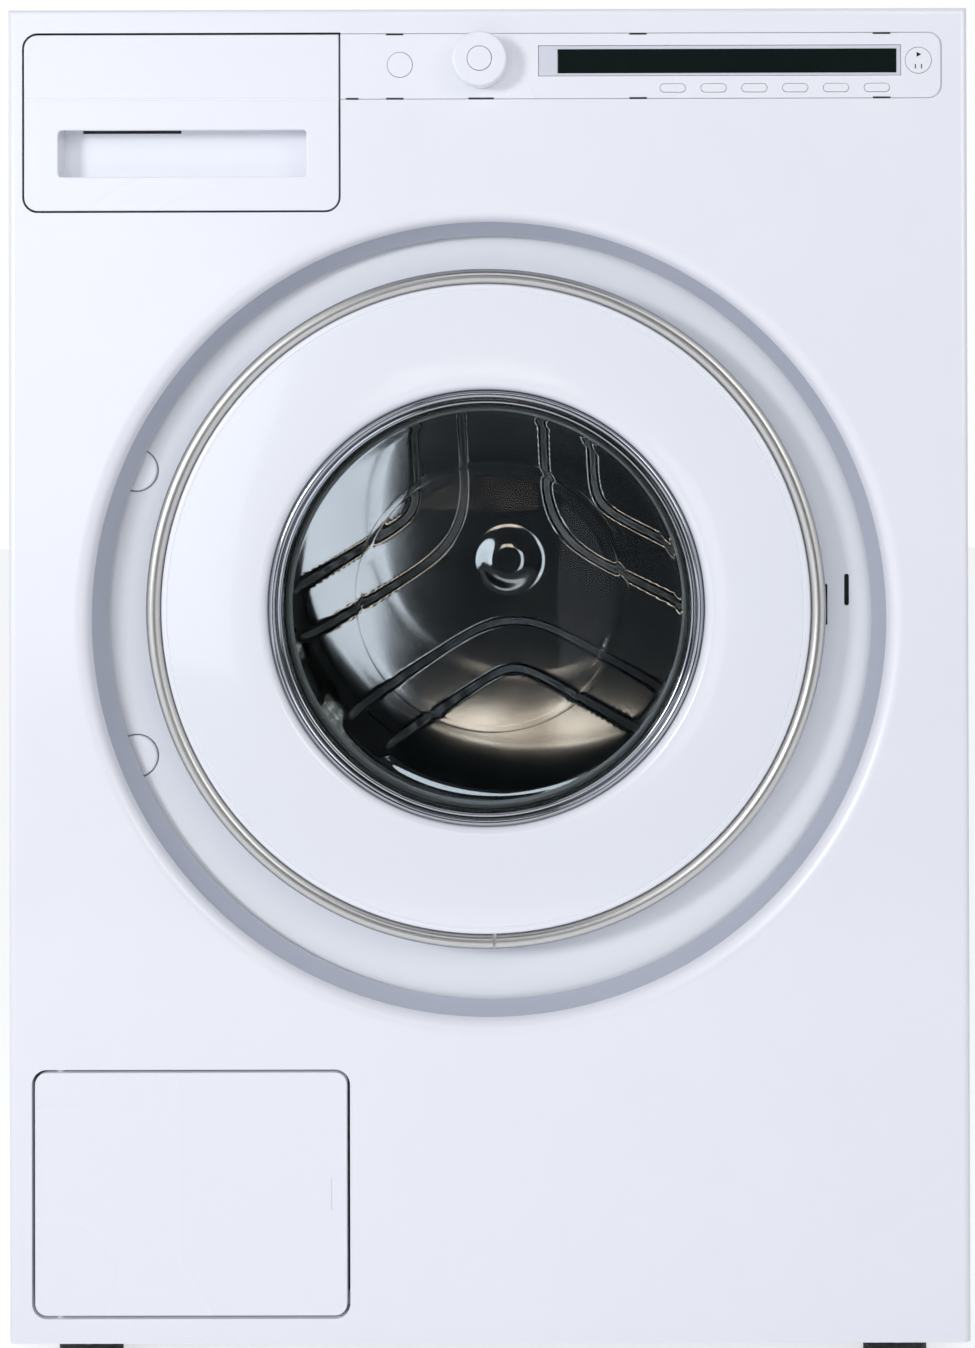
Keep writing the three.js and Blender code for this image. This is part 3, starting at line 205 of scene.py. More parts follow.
def eased_copy(node, width, angle=40, segments=2):
    """A CAD node's mesh again, with its flat faces made whole and its edges rounded."""
    bm = bmesh.new()
    bm.from_mesh(nodes[node].data)
    bm.transform(nodes[node].matrix_world)
    bmesh.ops.remove_doubles(bm, verts=bm.verts, dist=WELD)
    bmesh.ops.dissolve_limit(bm, angle_limit=math.radians(0.5), verts=bm.verts, edges=bm.edges)
    return ease(bm, width, angle, segments)


def dressed(bm, name, body, material, stands_for=(), angle=32):
    """Makes the finished piece: smooth shading with sharp edges kept, its material, and the body it rides on."""
    piece = as_object(bm, name)
    piece.data.materials.append(material)
    piece.data.shade_smooth()
    piece.data.set_sharp_from_angle(angle=math.radians(angle))
    weighted = piece.modifiers.new("flat faces stay flat", "WEIGHTED_NORMAL")
    weighted.keep_sharp = True
    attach(piece, body)
    if stands_for:
        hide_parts(*stands_for)
    return piece


def copied(node, width, name, body, material, crease=40, angle=32):
    """A node whose shape is right, as a finished piece with its edges eased."""
    return dressed(eased_copy(node, width, crease), name, body, material, [node], angle)


# %% [markdown]
# A finish is a material made of nodes. Its colours are written as the sRGB hex values that a paint shop or a
# colour picker shows, and one function turns them to the linear numbers that a shader takes. One more function
# adds a node with its settings and its links, so each finish below reads as a list of what feeds what.
# Patterns use Object coordinates, which are metres here, so a scale is one over a real size.

# %% Colours, nodes and a plain material
def linear(colour):
    """An sRGB hex colour as linear red, green, blue and alpha."""
    shares = [int(colour[i:i + 2], 16) / 255 for i in (1, 3, 5)]
    return (*[c / 12.92 if c <= 0.04045 else ((c + 0.055) / 1.055) ** 2.4 for c in shares], 1.0)


def add(tree, kind, inputs=None, **settings):
    """A shader node with its settings. Inputs are values, or the sockets that feed it."""
    node = tree.nodes.new("ShaderNode" + kind)
    for name, value in settings.items():
        setattr(node, name, value)
    for name, value in (inputs or {}).items():
        if isinstance(value, bpy.types.NodeSocket):
            tree.links.new(value, node.inputs[name])
        else:
            node.inputs[name].default_value = value
    return node


def finish(name, colour, roughness, **sockets):
    """A Principled material. Socket names are written with underscores for their spaces."""
    material = bpy.data.materials.new(name)
    material.use_nodes = True
    surface = material.node_tree.nodes["Principled BSDF"]
    surface.inputs["Base Color"].default_value = linear(colour)
    surface.inputs["Roughness"].default_value = roughness
    for socket, value in sockets.items():
        surface.inputs[socket.replace("_", " ")].default_value = value
    return material, material.node_tree, surface


def grain(tree, size, detail=2.0, where=None, stretch=None, roughness=0.5):
    """Noise whose patches are about a size in millimetres, and stretched by three shares."""
    where = where or add(tree, "TexCoord").outputs["Object"]
    if stretch:
        where = add(tree, "Mapping", {"Vector": where, "Scale": stretch}).outputs["Vector"]
    settings = {"Vector": where, "Scale": 1 / (size * MM), "Detail": detail, "Roughness": roughness}
    return add(tree, "TexNoise", settings).outputs["Fac"]


def span(tree, value, low, high, start=0.0, end=1.0):
    """A value taken from one range to another."""
    inputs = {"Value": value, "From Min": start, "From Max": end, "To Min": low, "To Max": high}
    return add(tree, "MapRange", inputs).outputs["Result"]


def mottle(tree, surface, value, first, second):
    """Colour that wanders between two hex colours with a value."""
    mix = add(tree, "Mix", {0: value, 6: linear(first), 7: linear(second)}, data_type="RGBA")
    tree.links.new(mix.outputs[2], surface.inputs["Base Color"])


def relief(tree, surface, height, depth, strength=1.0):
    """Bump of a depth in millimetres."""
    bump = add(tree, "Bump", {"Height": height, "Distance": depth * MM, "Strength": strength})
    tree.links.new(bump.outputs["Normal"], surface.inputs["Normal"])


# %% [markdown]
# The casing is steel sheet with stove enamel. Enamel levels out before it sets, so it is glossy, and a faint wave a
# few millimetres long stays in it, called orange peel. That wave is what makes a long reflection look like paint
# and not like plastic.

# %% Stove enamel
def stove_enamel(name="stove_enamel_white", first="#F0F2FA", second="#F3F5FB"):
    material, tree, surface = finish(name, first, 0.3, Coat_Weight=0.35, Coat_Roughness=0.12)
    mottle(tree, surface, grain(tree, 60), first, second)
    tree.links.new(span(tree, grain(tree, 14), 0.26, 0.34), surface.inputs["Roughness"])
    relief(tree, surface, grain(tree, 3.2, detail=1.0), 0.012)
    return material


# %% [markdown]
# Fascia, drawer and buttons are moulded ABS. The mould is polished, so the surface is smooth, with only slow
# changes of gloss where the melt has flowed. The door's broad ring is the same plastic under a clear lacquer.

# %% Moulded ABS
def moulded_abs(name, light, dark, roughness=0.27, coat=0.0):
    material, tree, surface = finish(name, light, roughness, IOR=1.53, Coat_Weight=coat, Coat_Roughness=0.04)
    mottle(tree, surface, grain(tree, 120, detail=0.0), light, dark)
    gloss = span(tree, grain(tree, 90, detail=0.0), roughness - 0.02, roughness + 0.02)
    tree.links.new(gloss, surface.inputs["Roughness"])
    relief(tree, surface, grain(tree, 1.6, detail=0.0), 0.0005)
    return material


# %% [markdown]
# The door's outer ring is stainless steel, brushed while it turned. Brushing leaves fine lines that run round the
# ring. Their pattern is noise read in polar coordinates: it changes fast with the radius and slowly with the angle,
# and real lines of about 0.05 mm are drawn at 0.3 mm so that they show.

# %% Steel brushed round an axis
def polar(tree, centre, angle_scale, radius_scale, depth_scale):
    """Object coordinates turned to angle, radius and depth about an axis that runs along Y."""
    place = add(tree, "TexCoord").outputs["Object"]
    shift = add(tree, "VectorMath", {0: place, 1: (-centre[0] * MM, 0.0, -centre[1] * MM)}, operation="ADD")
    parts = add(tree, "SeparateXYZ", {"Vector": shift.outputs["Vector"]}).outputs
    angle = add(tree, "Math", {0: parts["Z"], 1: parts["X"]}, operation="ARCTAN2").outputs["Value"]
    flat = add(tree, "CombineXYZ", {"X": parts["X"], "Z": parts["Z"]}).outputs["Vector"]
    radius = add(tree, "VectorMath", {0: flat}, operation="LENGTH").outputs["Value"]
    scaled = [
        add(tree, "Math", {0: value, 1: scale}, operation="MULTIPLY").outputs["Value"]
        for value, scale in ((angle, angle_scale), (radius, radius_scale), (parts["Y"], depth_scale))
    ]
    joined = add(tree, "CombineXYZ", {"X": scaled[0], "Y": scaled[1], "Z": scaled[2]})
    return joined.outputs["Vector"]


def brushed_round(name, colour, roughness, line, bump=0.01, light=None):
    material, tree, surface = finish(name, colour, roughness, Metallic=1.0)
    where = polar(tree, AXIS, 3.0, 1 / (line * MM), 1 / (line * MM))
    lines = add(tree, "TexNoise", {"Vector": where, "Scale": 1.0, "Detail": 3.0}).outputs["Fac"]
    mottle(tree, surface, lines, colour, light or colour)
    tree.links.new(span(tree, lines, roughness - 0.08, roughness + 0.1), surface.inputs["Roughness"])
    relief(tree, surface, lines, bump)
    return material


# %% [markdown]
# The other metals are polished chrome, zinc coated sheet and cast aluminium. Zinc shows its crystals as pale and
# dark patches, called spangle, and a Voronoi pattern draws them. A casting has the grain of its sand.

# %% Chrome, zinc coated sheet and cast aluminium
def polished_chrome():
    material, tree, surface = finish("polished_chrome", "#A0A4AA", 0.07, Metallic=1.0)
    tree.links.new(span(tree, grain(tree, 6), 0.05, 0.12), surface.inputs["Roughness"])
    relief(tree, surface, grain(tree, 18), 0.02)
    return material


def zinc_sheet():
    material, tree, surface = finish("zinc_coated_sheet", "#A9ADB0", 0.45, Metallic=1.0)
    place = add(tree, "TexCoord").outputs["Object"]
    spangle = add(tree, "TexVoronoi", {"Vector": place, "Scale": 1 / (7 * MM)}).outputs["Color"]
    crystals = add(tree, "SeparateColor", {"Color": spangle}).outputs["Red"]
    mottle(tree, surface, crystals, "#A8ACAF", "#B6BABC")
    tree.links.new(span(tree, crystals, 0.4, 0.5), surface.inputs["Roughness"])
    relief(tree, surface, grain(tree, 2.5), 0.015)
    return material


def cast_metal():
    material, tree, surface = finish("sand_cast_aluminium", "#9B9FA2", 0.5, Metallic=1.0)
    mottle(tree, surface, grain(tree, 12), "#8E9295", "#A8ACAF")
    relief(tree, surface, grain(tree, 0.9, detail=4.0), 0.12)
    return material


# %% [markdown]
# Rubber is matt, because its surface is full of fine pores, and it carries a little dust. Black mouldings, most
# of them out of sight, have an etched mould face, which looks like fine leather. The laminate under the controls
# is green with lines of copper beneath the lacquer, and the balance weight is cast concrete with sand and air
# holes.

# %% Rubber, etched plastic, laminate and concrete
def rubber(name, colour, dusty):
    material, tree, surface = finish(name, colour, 0.8, Sheen_Weight=0.15)
    mottle(tree, surface, grain(tree, 8, detail=4.0), colour, dusty)
    relief(tree, surface, grain(tree, 0.6), 0.05)
    return material


def etched_plastic(name, colour, light):
    material, tree, surface = finish(name, colour, 0.5, IOR=1.5)
    mottle(tree, surface, grain(tree, 30), colour, light)
    relief(tree, surface, grain(tree, 0.8), 0.03)
    return material


def laminate():
    material, tree, surface = finish("green_laminate", "#2F6B45", 0.35)
    lines = add(tree, "TexWave", {"Scale": 60.0, "Distortion": 2.5}, wave_type="BANDS").outputs["Fac"]
    mottle(tree, surface, span(tree, lines, 0, 1, 0.55, 0.65), "#2B6340", "#3E8457")
    return material


def concrete():
    material, tree, surface = finish("cast_concrete", "#8D8B86", 0.9)
    mottle(tree, surface, grain(tree, 5, detail=8.0, roughness=0.7), "#7B7974", "#A19F9A")
    holes = add(tree, "TexVoronoi", {"Vector": add(tree, "TexCoord").outputs["Object"], "Scale": 1 / (14 * MM)})
    relief(tree, surface, span(tree, holes.outputs["Distance"], 0, 1, 0.0, 0.16), 0.8)
    return material


# %% [markdown]
# The door's window is pressed glass, 4 mm thick. Its two faces run parallel, so light leaves it in the direction
# in which it came, and the drum behind it shows undistorted. So the index is set just over 1, which bends
# nothing, and a coat with the index of glass makes the reflections. A path tracer blocks the lamps' shadow rays
# at glass, so those rays alone pass through a Transparent shader in the glass's own colour. The coat is thin,
# because the real glass shows the drum more than it shows the room.

# %% Pressed glass
def pressed_glass():
    material, tree, surface = finish(
        "pressed_glass", "#E9EEED", 0.0, IOR=1.01, Transmission_Weight=1.0, Coat_Weight=0.1, Coat_Roughness=0.02,
        Coat_IOR=1.5,
    )
    clear = add(tree, "BsdfTransparent", {"Color": linear("#D8DFDE")})
    rays = add(tree, "LightPath")
    mix = add(tree, "MixShader", {0: rays.outputs["Is Shadow Ray"], 1: surface.outputs[0], 2: clear.outputs[0]})
    tree.links.new(mix.outputs[0], tree.nodes["Material Output"].inputs["Surface"])
    return material


# %% Make the finishes that more than one piece shares
ENAMEL = stove_enamel()
WHITE_ABS = moulded_abs("moulded_abs_white", "#F3F5FB", "#F1F3FA")
LACQUERED_ABS = moulded_abs("lacquered_abs_white", "#F1F3FA", "#EFF2F9", roughness=0.2, coat=0.5)
PALE_ABS = moulded_abs("moulded_abs_pale_blue", "#EFF2F8", "#EAEEF5", roughness=0.3)
GREY_ABS = moulded_abs("moulded_pp_grey", "#A9AEB3", "#9EA3A8", roughness=0.42)
BRUSHED = brushed_round("brushed_stainless_ring", "#A9A9A7", 0.3, 0.3, light="#CDCDCB")
CHROME = polished_chrome()
ZINC = zinc_sheet()
CASTING = cast_metal()
GREY_RUBBER = rubber("moulded_rubber_grey", "#6A6F75", "#7B8086")
BLACK_RUBBER = rubber("moulded_rubber_black", "#1E2022", "#2C2E30")
BLACK_PLASTIC = etched_plastic("etched_plastic_black", "#17191B", "#1E2023")
LAMINATE = laminate()
CONCRETE = concrete()
GLASS = pressed_glass()
print(len(bpy.data.materials), "materials")

# %% [markdown]
# The photograph was taken square to the front with a long lens, a little right of the middle and above it, and
# its frame keeps that offset as lens shift. Place, turn and lens below were fitted to the cabinet's corners, the
# flap, the drawer and the drum's hub, which lies deep inside and so tells how far away the camera stood.

# %% Camera
PHOTO = (975, 1348)
LENS_PIXELS = 2424.2
CENTRE_PIXEL = (588.7, 362.8)
CAMERA = point(65.5, -1500, 622.1)
TURN_Z, TURN_X, ROLL = 0.0020, 0.0054, -0.0025


def photo_camera():
    data = bpy.data.cameras.new("photo_camera")
    data.sensor_width = 36.0
    data.lens = data.sensor_width * LENS_PIXELS / PHOTO[1]
    data.shift_x = (PHOTO[0] / 2 - CENTRE_PIXEL[0]) / PHOTO[1]
    data.shift_y = (CENTRE_PIXEL[1] - PHOTO[1] / 2) / PHOTO[1]
    camera = bpy.data.objects.new("photo_camera", data)
    turn = Matrix.Rotation(TURN_Z, 4, "Z") @ Matrix.Rotation(math.pi / 2 + TURN_X, 4, "X")
    camera.matrix_world = Matrix.Translation(CAMERA) @ turn @ Matrix.Rotation(ROLL, 4, "Z")
    bpy.context.scene.collection.objects.link(camera)
    bpy.context.scene.camera = camera
    return camera


camera = photo_camera()
bpy.context.scene.view_settings.view_transform = "Standard"
print("lens", round(camera.data.lens, 2), "mm")

# %% [markdown]
# A white machine on white gets its shape from where the lamps are. Most light comes from the front, so flat faces
# and the ring in the dish are pale. The dish's wall, which the light only grazes, is grey, and its enamel also
# carries painted shade, a darker colour of its own. A small lamp at the left throws the shadow of the dish's lip
# on the ring, and one at the right fills. A dark room stands round the camera that only reflections see, with a
# few bright panels in it: steel, chrome and the drum are mirrors, and these are what they show.

# %% World, lamps and floor
def seen_only(tree):
    """One for the rays that show a thing, straight or in a mirror, and zero for the rays that light by it."""
    rays = add(tree, "LightPath").outputs
    straight = add(tree, "Math", {0: rays["Is Camera Ray"], 1: rays["Is Glossy Ray"]}, operation="MAXIMUM").outputs[0]
    return add(tree, "Math", {0: straight, 1: rays["Is Transmission Ray"]}, operation="MAXIMUM").outputs[0]


def studio_world():
    world = bpy.data.worlds.new("studio")
    world.use_nodes = True
    tree = world.node_tree
    plain = tree.nodes["Background"]
    plain.inputs["Color"].default_value = linear("#F4F6FC")
    plain.inputs["Strength"].default_value = WORLD_LIGHT
    white = add(tree, "Background", {"Color": (1, 1, 1, 1), "Strength": 1.0})
    mix = add(tree, "MixShader", {0: seen_only(tree), 1: plain.outputs[0], 2: white.outputs[0]})
    tree.links.new(mix.outputs[0], tree.nodes["World Output"].inputs["Surface"])
    bpy.context.scene.world = world


def lamp(name, place, target, size, power, tint, mirrored=True):
    data = bpy.data.lights.new(name, "AREA")
    data.shape = "RECTANGLE"
    data.size, data.size_y = size
    data.energy = power
    data.color = linear(tint)[:3]
    thing = bpy.data.objects.new(name, data)
    thing.location = place
    thing.rotation_euler = (Vector(target) - Vector(place)).to_track_quat("-Z", "Y").to_euler()
    thing.visible_glossy = thing.visible_transmission = mirrored
    bpy.context.scene.collection.objects.link(thing)


def stage_sheet(name, size, place, turn, material):
    bm = bmesh.new()
    bmesh.ops.create_grid(bm, x_segments=4, y_segments=4, size=0.5)
    bmesh.ops.scale(bm, verts=bm.verts, vec=(*size, 1))
    bmesh.ops.transform(bm, verts=bm.verts, matrix=Matrix.Translation(place) @ turn)
    sheet = as_object(bm, name)
    sheet.data.materials.append(material)
    return sheet


WORLD_LIGHT, FLOOR_GLOW = 0.4, 0.52
studio_world()
lamp("key_lamp", (-1.8, -2.6, 1.1), (0, -0.2, 0.5), (0.6, 0.6), 30, "#FDFDFF")
lamp("fill_lamp", (1.7, -2.4, 1.6), (0, -0.2, 0.5), (0.9, 1.2), 9.5, "#FFFCF8")
lamp("front_lamp", (0.2, -3.0, 1.4), (0, -0.2, 0.45), (2.4, 1.8), 12, "#FBFCFF", mirrored=False)
floor_paint, floor_tree, floor_surface = finish("studio_floor", "#F5F6F9", 0.9)
mottle(floor_tree, floor_surface, grain(floor_tree, 400), "#F4F5F8", "#F7F8FB")
glow_share = span(floor_tree, seen_only(floor_tree), 0.0, FLOOR_GLOW)
floor_surface.inputs["Emission Color"].default_value = (1, 1, 1, 1)
floor_tree.links.new(glow_share, floor_surface.inputs["Emission Strength"])
stage_sheet("floor", (14, 14), (0, 0, 0), Matrix.Identity(4), floor_paint)

# %% Dark cards and bright panels that only mirrors show
UPRIGHT, LYING = Matrix.Rotation(math.pi / 2, 4, "X"), Matrix.Identity(4)


def mirrored_card(name, x, depth, z, first, second, patch, glow=0.0):
    """An upright or lying sheet before the machine, which reflections show and nothing else, in millimetres."""
    paint, tree, surface = finish(name, first, 0.9)
    mottle(tree, surface, span(tree, grain(tree, patch), 0.0, 1.0, 0.35, 0.65), first, second)
    if glow:
        tree.links.new(surface.inputs["Base Color"].links[0].from_socket, surface.inputs["Emission Color"])
        surface.inputs["Emission Strength"].default_value = glow
    middle = point(sum(x) / 2, sum(depth) / 2, sum(z) / 2)
    upright = depth[0] == depth[1]
    height = z[1] - z[0] if upright else depth[1] - depth[0]
    turn = UPRIGHT if upright else LYING
    sheet = stage_sheet(name, ((x[1] - x[0]) * MM, height * MM), middle, turn, paint)
    sheet.visible_camera = sheet.visible_diffuse = sheet.visible_shadow = False


DARK, GREY = "#1C1F22", "#363A3F"
ROOM_X, FAR, NEAR = (-1350, 1350), -3200, (-1600, -1600)
mirrored_card("dark_wall", ROOM_X, (FAR, FAR), (0, 3400), DARK, GREY, 700)
mirrored_card("dark_floor", ROOM_X, (FAR, -1300), (2, 2), DARK, GREY, 500)
mirrored_card("dark_ceiling", ROOM_X, (FAR, -600), (3400, 3400), DARK, GREY, 700)
mirrored_card("skylight", (-500, 700), NEAR, (1350, 2200), "#E8ECF6", "#F4F6FF", 300, glow=1.3)
mirrored_card("window_pane", (15, 130), NEAR, (215, 440), "#E4E4EE", "#F2F2FC", 60, glow=1.6)
mirrored_card("tall_window", (-760, -330), NEAR, (250, 1100), "#E8ECF6", "#F4F6FF", 300, glow=1.7)
mirrored_card("warm_wall", (-165, -15), NEAR, (434, 560), "#7E6A5C", "#F4E0D0", 34, glow=3.4)
print("studio ready")

# %% [markdown]
# The casing is 1.2 mm steel. Its front is one pressing: the face, the folded edges at the sides and the top, the
# dish round the door, and the windows for drawer, controls and flap. Here the folded box comes from a cube with
# bevelled edges that solidify gives its wall. The windows are cut, and the dish is spun and sewn to the rim of
# the round window, so that the press radius runs round without a seam.

# %% Sizes of the casing, read from the frame
(LEFT, RIGHT), (_, RETURN), (BOTTOM, TOP) = reach("front_panel")
SHEET, EDGE, CLIP, FLAP_PIN = 1.2, 5.0, 4.0, 3.4
drawer_x, _, drawer_z = reach("drawer_front")
clip_x, _, clip_z = reach("control_panel")
strip_x = (clip_x[0], clip_x[1] - CLIP)
strip_z = (clip_z[0] + CLIP, clip_z[1] - CLIP)
flap_x, _, pinned_z = reach("service_flap")
flap_z = (pinned_z[0] + FLAP_PIN, pinned_z[1] - FLAP_PIN)
DRAWER_CORNER, STRIP_CORNER, FLAP_CORNER = 8.5, 8.0, 7.5
DRAWER_GAP, STRIP_GAP, FLAP_GAP = 1.2, 0.6, 1.9
DRAWER_ROUND, STRIP_ROUND = (1, 1, 0, 1), (0, 1, 1, 0)
PIN_X, PIN_DEPTH, PIN_RADIUS, PIN_FIT = flap_x[0] + 15, 6.0, 2.5, 0.3
DISH = (0.0, 471.0)
DISH_RADIUS, DISH_ROLL, LIP_RADIUS, DISH_DEPTH, DISH_LAND = 257.0, 10.0, 239.0, 22.0, 10.0
print("casing", round(RIGHT - LEFT, 1), "by", round(TOP - BOTTOM, 1), "mm, drawer", drawer_x, drawer_z)

# %% Grown outlines, joined shells and a sheet box
def grow(pair, by):
    """A range made longer by a gap at each end."""
    return (pair[0] - by, pair[1] + by)


def around(middle, width):
    """The range of a width about a middle."""
    return (middle - width / 2, middle + width / 2)


def joined(*meshes):
    """Several closed shells in one bmesh, where pieces only touch or are glued."""
    whole = bmesh.new()
    for bm in meshes:
        part = bpy.data.meshes.new("part")
        bm.to_mesh(part)
        bm.free()
        whole.from_mesh(part)
        bpy.data.meshes.remove(part)
    return whole


def folded_front():
    """The face with its folded edges, open at the back and below."""
    bm = plate((LEFT, RIGHT), (BOTTOM, TOP), (0, RETURN))
    rounded = [
        e for e in bm.edges
        if all(abs(v.co.y - FACE) < 1e-6 for v in e.verts) and max(v.co.z for v in e.verts) > (BOTTOM + 1) * MM
    ]
    bmesh.ops.bevel(
        bm, geom=rounded, offset=EDGE * MM, offset_type="OFFSET", segments=8, profile=0.5, affect="EDGES",
        material=-1,
    )
    back = [f for f in bm.faces if f.normal.y > 0.9]
    below = [f for f in bm.faces if f.normal.z < -0.9]
    bmesh.ops.delete(bm, geom=back + below, context="FACES")
    bmesh.ops.solidify(bm, geom=bm.faces[:], thickness=SHEET * MM)
    bmesh.ops.recalc_face_normals(bm, faces=bm.faces)
    return bm


# %% Cut the windows and sew in the dish
rim = DISH_RADIUS + DISH_LAND
disc = spun([(0, -5), (rim, -5), (rim, 5), (0, 5)], centre=DISH)
windows = [
    plate(grow(x, gap), grow(z, gap), (-5, 5), corner + gap, corners)
    for x, z, gap, corner, corners in (
        (drawer_x, drawer_z, DRAWER_GAP, DRAWER_CORNER, DRAWER_ROUND),
        (strip_x, strip_z, STRIP_GAP, STRIP_CORNER, STRIP_ROUND),
        (flap_x, flap_z, FLAP_GAP, FLAP_CORNER, (1, 1, 1, 1)),
    )
]
front = combine(folded_front(), disc, *windows)
front_area = sum(f.calc_area() for f in front.faces)
cut_wall = [
    f for f in front.faces
    if all(abs(math.hypot(v.co.x / MM - DISH[0], v.co.z / MM - DISH[1]) - rim) < 0.05 for v in f.verts)
]
bmesh.ops.delete(front, geom=cut_wall, context="FACES")
face_line = [(rim, 0), *arc(DISH_RADIUS, DISH_ROLL, DISH_ROLL, -90, -180, 10), (LIP_RADIUS + 1.2, DISH_DEPTH - 1.2)]
back_line = [(rim, SHEET), *arc(DISH_RADIUS, DISH_ROLL, DISH_ROLL - SHEET, -90, -180, 6)]
lip = [(LIP_RADIUS + out, DISH_DEPTH + back) for out, back in ((0.3, -0.4), (0.3, 0.5), (1.4, 0.6))]
dish = spun(face_line + lip + back_line[::-1], centre=DISH, closed=False)
front = joined(front, dish)
bmesh.ops.remove_doubles(front, verts=front.verts, dist=0.03 * MM)
open_edges = [e for e in front.edges if e.is_boundary]
print("front", len(front.faces), "faces,", round(front_area, 3), "m2,", len(open_edges), "open edges")

# %% [markdown]
# The flap's window has a collar behind it that keeps water out of the casing. It is a short tube with the window's
# own outline, welded to the back of the sheet.

# %% The flap's collar, and the front as a finished piece
COLLAR_WALL, COLLAR_DEPTH = 2.0, 17.0
collar = combine(*[
    plate(grow(flap_x, gap), grow(flap_z, gap), depth, FLAP_CORNER + gap)
    for gap, depth in ((FLAP_GAP + COLLAR_WALL, (SHEET, COLLAR_DEPTH)), (FLAP_GAP, (-5, 30)))
])
hole = 2 * (PIN_RADIUS + PIN_FIT)
pin_holes = [plate(around(PIN_X, hole), around(z, 6), around(PIN_DEPTH, hole)) for z in grow(flap_z, 3)]
collar = combine(collar, *pin_holes)
# The dish's wall gets a darker, bluer enamel of its own. That colour is painted shade for the steep wall in the dish.
DISH_SHADE_ENAMEL = stove_enamel("stove_enamel_painted_dish_shade", "#B9BFCD", "#C3C8D5")
front = joined(front, collar)
# Faces on the dish's wall take the enamel with painted shade.
for face in front.faces:
    middle = face.calc_center_median() / MM
    away = math.hypot(middle.x - DISH[0], middle.z - DISH[1])
    in_painted_shade = LIP_RADIUS < away < DISH_RADIUS - DISH_ROLL + 0.6
    if in_painted_shade and middle.y > FACE / MM + DISH_ROLL - 2:
        face.material_index = 1
front_piece = dressed(front, "front_pressing", "cabinet", ENAMEL, ["front_panel"], angle=40)
front_piece.data.materials.append(DISH_SHADE_ENAMEL)
print(front_piece.name, len(front_piece.data.polygons), "faces")

# %% [markdown]
# Sides, top and base are folded sheet too. Their solids already have the folds, so each is copied, its flat
# faces are made whole again, and its edges get the small radius that shears and press leave, which is what
# catches a line of light.

# %% Side panels, top panel and the base
for node in ("left_side_panel", "right_side_panel"):
    copied(node, 0.5, node + "_sheet", "cabinet", ENAMEL)
top_sheet = eased_copy("top_panel", 0.0, angle=170)
corner = [
    e for e in top_sheet.edges
    if all(abs(v.co.z / MM - TOP) < 0.01 for v in e.verts) and len(e.link_faces) == 2
    and e.calc_face_angle() > 1 and max(v.co.y for v in e.verts) > FACE + (RETURN + 3) * MM
]
bmesh.ops.bevel(
    top_sheet, geom=corner, offset=4 * MM, offset_type="OFFSET", segments=5, profile=0.5, affect="EDGES",
    clamp_overlap=True, material=-1,
)
dressed(top_sheet, "top_sheet", "cabinet", ENAMEL, ["top_panel"])
copied("base_plate", 0.6, "base_pan", "cabinet", ZINC)
print("sides, top and base eased")

# %% [markdown]
# The control strip is one moulding with a hollow back, hooked behind the sheet on a ledge that the sheet hides.
# It is a plate that is cut: once for its hollow, then for the window and the buttons. Every edge that shows gets
# the small radius of a mould. Its snap hooks leave short slots in the seam, above and below, and black pieces in
# the slots paint the shade in them.

# %% The strip and the slots of its snap hooks
def at_face(edge):
    return all(abs(v.co.y - FACE) < 1e-5 for v in edge.verts)


def round_plate(centre, radius, depth, steps=64):
    """A disc, to cut a round hole with."""
    return spun([(0, depth[0]), (radius, depth[0]), (radius, depth[1]), (0, depth[1])], centre, steps)


def pill(centre, by, depth):
    """A short bar with round ends, grown by a gap."""
    width, height = PILL_WIDTH + 2 * by, PILL_HEIGHT + 2 * by
    return plate(around(centre[0], width), around(centre[1], height), depth, height / 2 - 0.01)


window_x, (window_front, _), window_z = reach("display_window")
WINDOW_LEDGE = 1.0
window_x, window_z = grow(window_x, -WINDOW_LEDGE), grow(window_z, -WINDOW_LEDGE)
KNOB = (-4.0, strip_z[0] + 23)
POWER, POWER_RADIUS = (-54.0, strip_z[0] + 21), 7.7
START, START_RADIUS = (267.0, strip_z[0] + 23), 8.0
PILL_WIDTH, PILL_HEIGHT, PILL_PITCH = 15.5, 5.0, 25.25
OPTIONS = [(115.0 + PILL_PITCH * i, strip_z[0] + 6.2) for i in range(6)]
FIT, THROUGH = 0.3, (-5, 20)
STRIP_DEPTH, LEDGE_DEPTH, HOLLOW_DEPTH, NOTCH_DEPTH = (0, 13), (1.5, 3.5), (3, 18), 1.4
# Each slot's middle, its seam (0 is the lower, 1 the upper) and its width.
SLOTS = [
    (-57.2, 1, 11), (93.5, 1, 11), (244.3, 1, 11),
    (-83.6, 0, 8), (-57.2, 0, 11), (-3.7, 0, 16), (93.5, 0, 11), (244.3, 0, 11),
]
shown_x = (strip_x[0], strip_x[1] - 0.5)
ledge_x = (strip_x[0], strip_x[1] + CLIP)
strip = combine(
    plate(shown_x, strip_z, STRIP_DEPTH, STRIP_CORNER, STRIP_ROUND),
    plate(ledge_x, grow(strip_z, CLIP), LEDGE_DEPTH, STRIP_CORNER + CLIP, STRIP_ROUND),
    operation="UNION",
)
hollow = plate(grow(strip_x, -2), grow(strip_z, -2), HOLLOW_DEPTH, STRIP_CORNER - 2, STRIP_ROUND)
holes = [plate(grow(window_x, FIT), grow(window_z, FIT), THROUGH)]
for centre, radius in ((POWER, POWER_RADIUS), (START, START_RADIUS), (KNOB, 4.0)):
    holes.append(round_plate(centre, radius + FIT, THROUGH))
holes += [pill(place, FIT, THROUGH) for place in OPTIONS]
notches = [plate(around(x, width), around(strip_z[seam], 1.4), (-5, NOTCH_DEPTH)) for x, seam, width in SLOTS]
strip = combine(strip, hollow, *holes, *notches)
ease(strip, 0.35, segments=2, where=at_face)
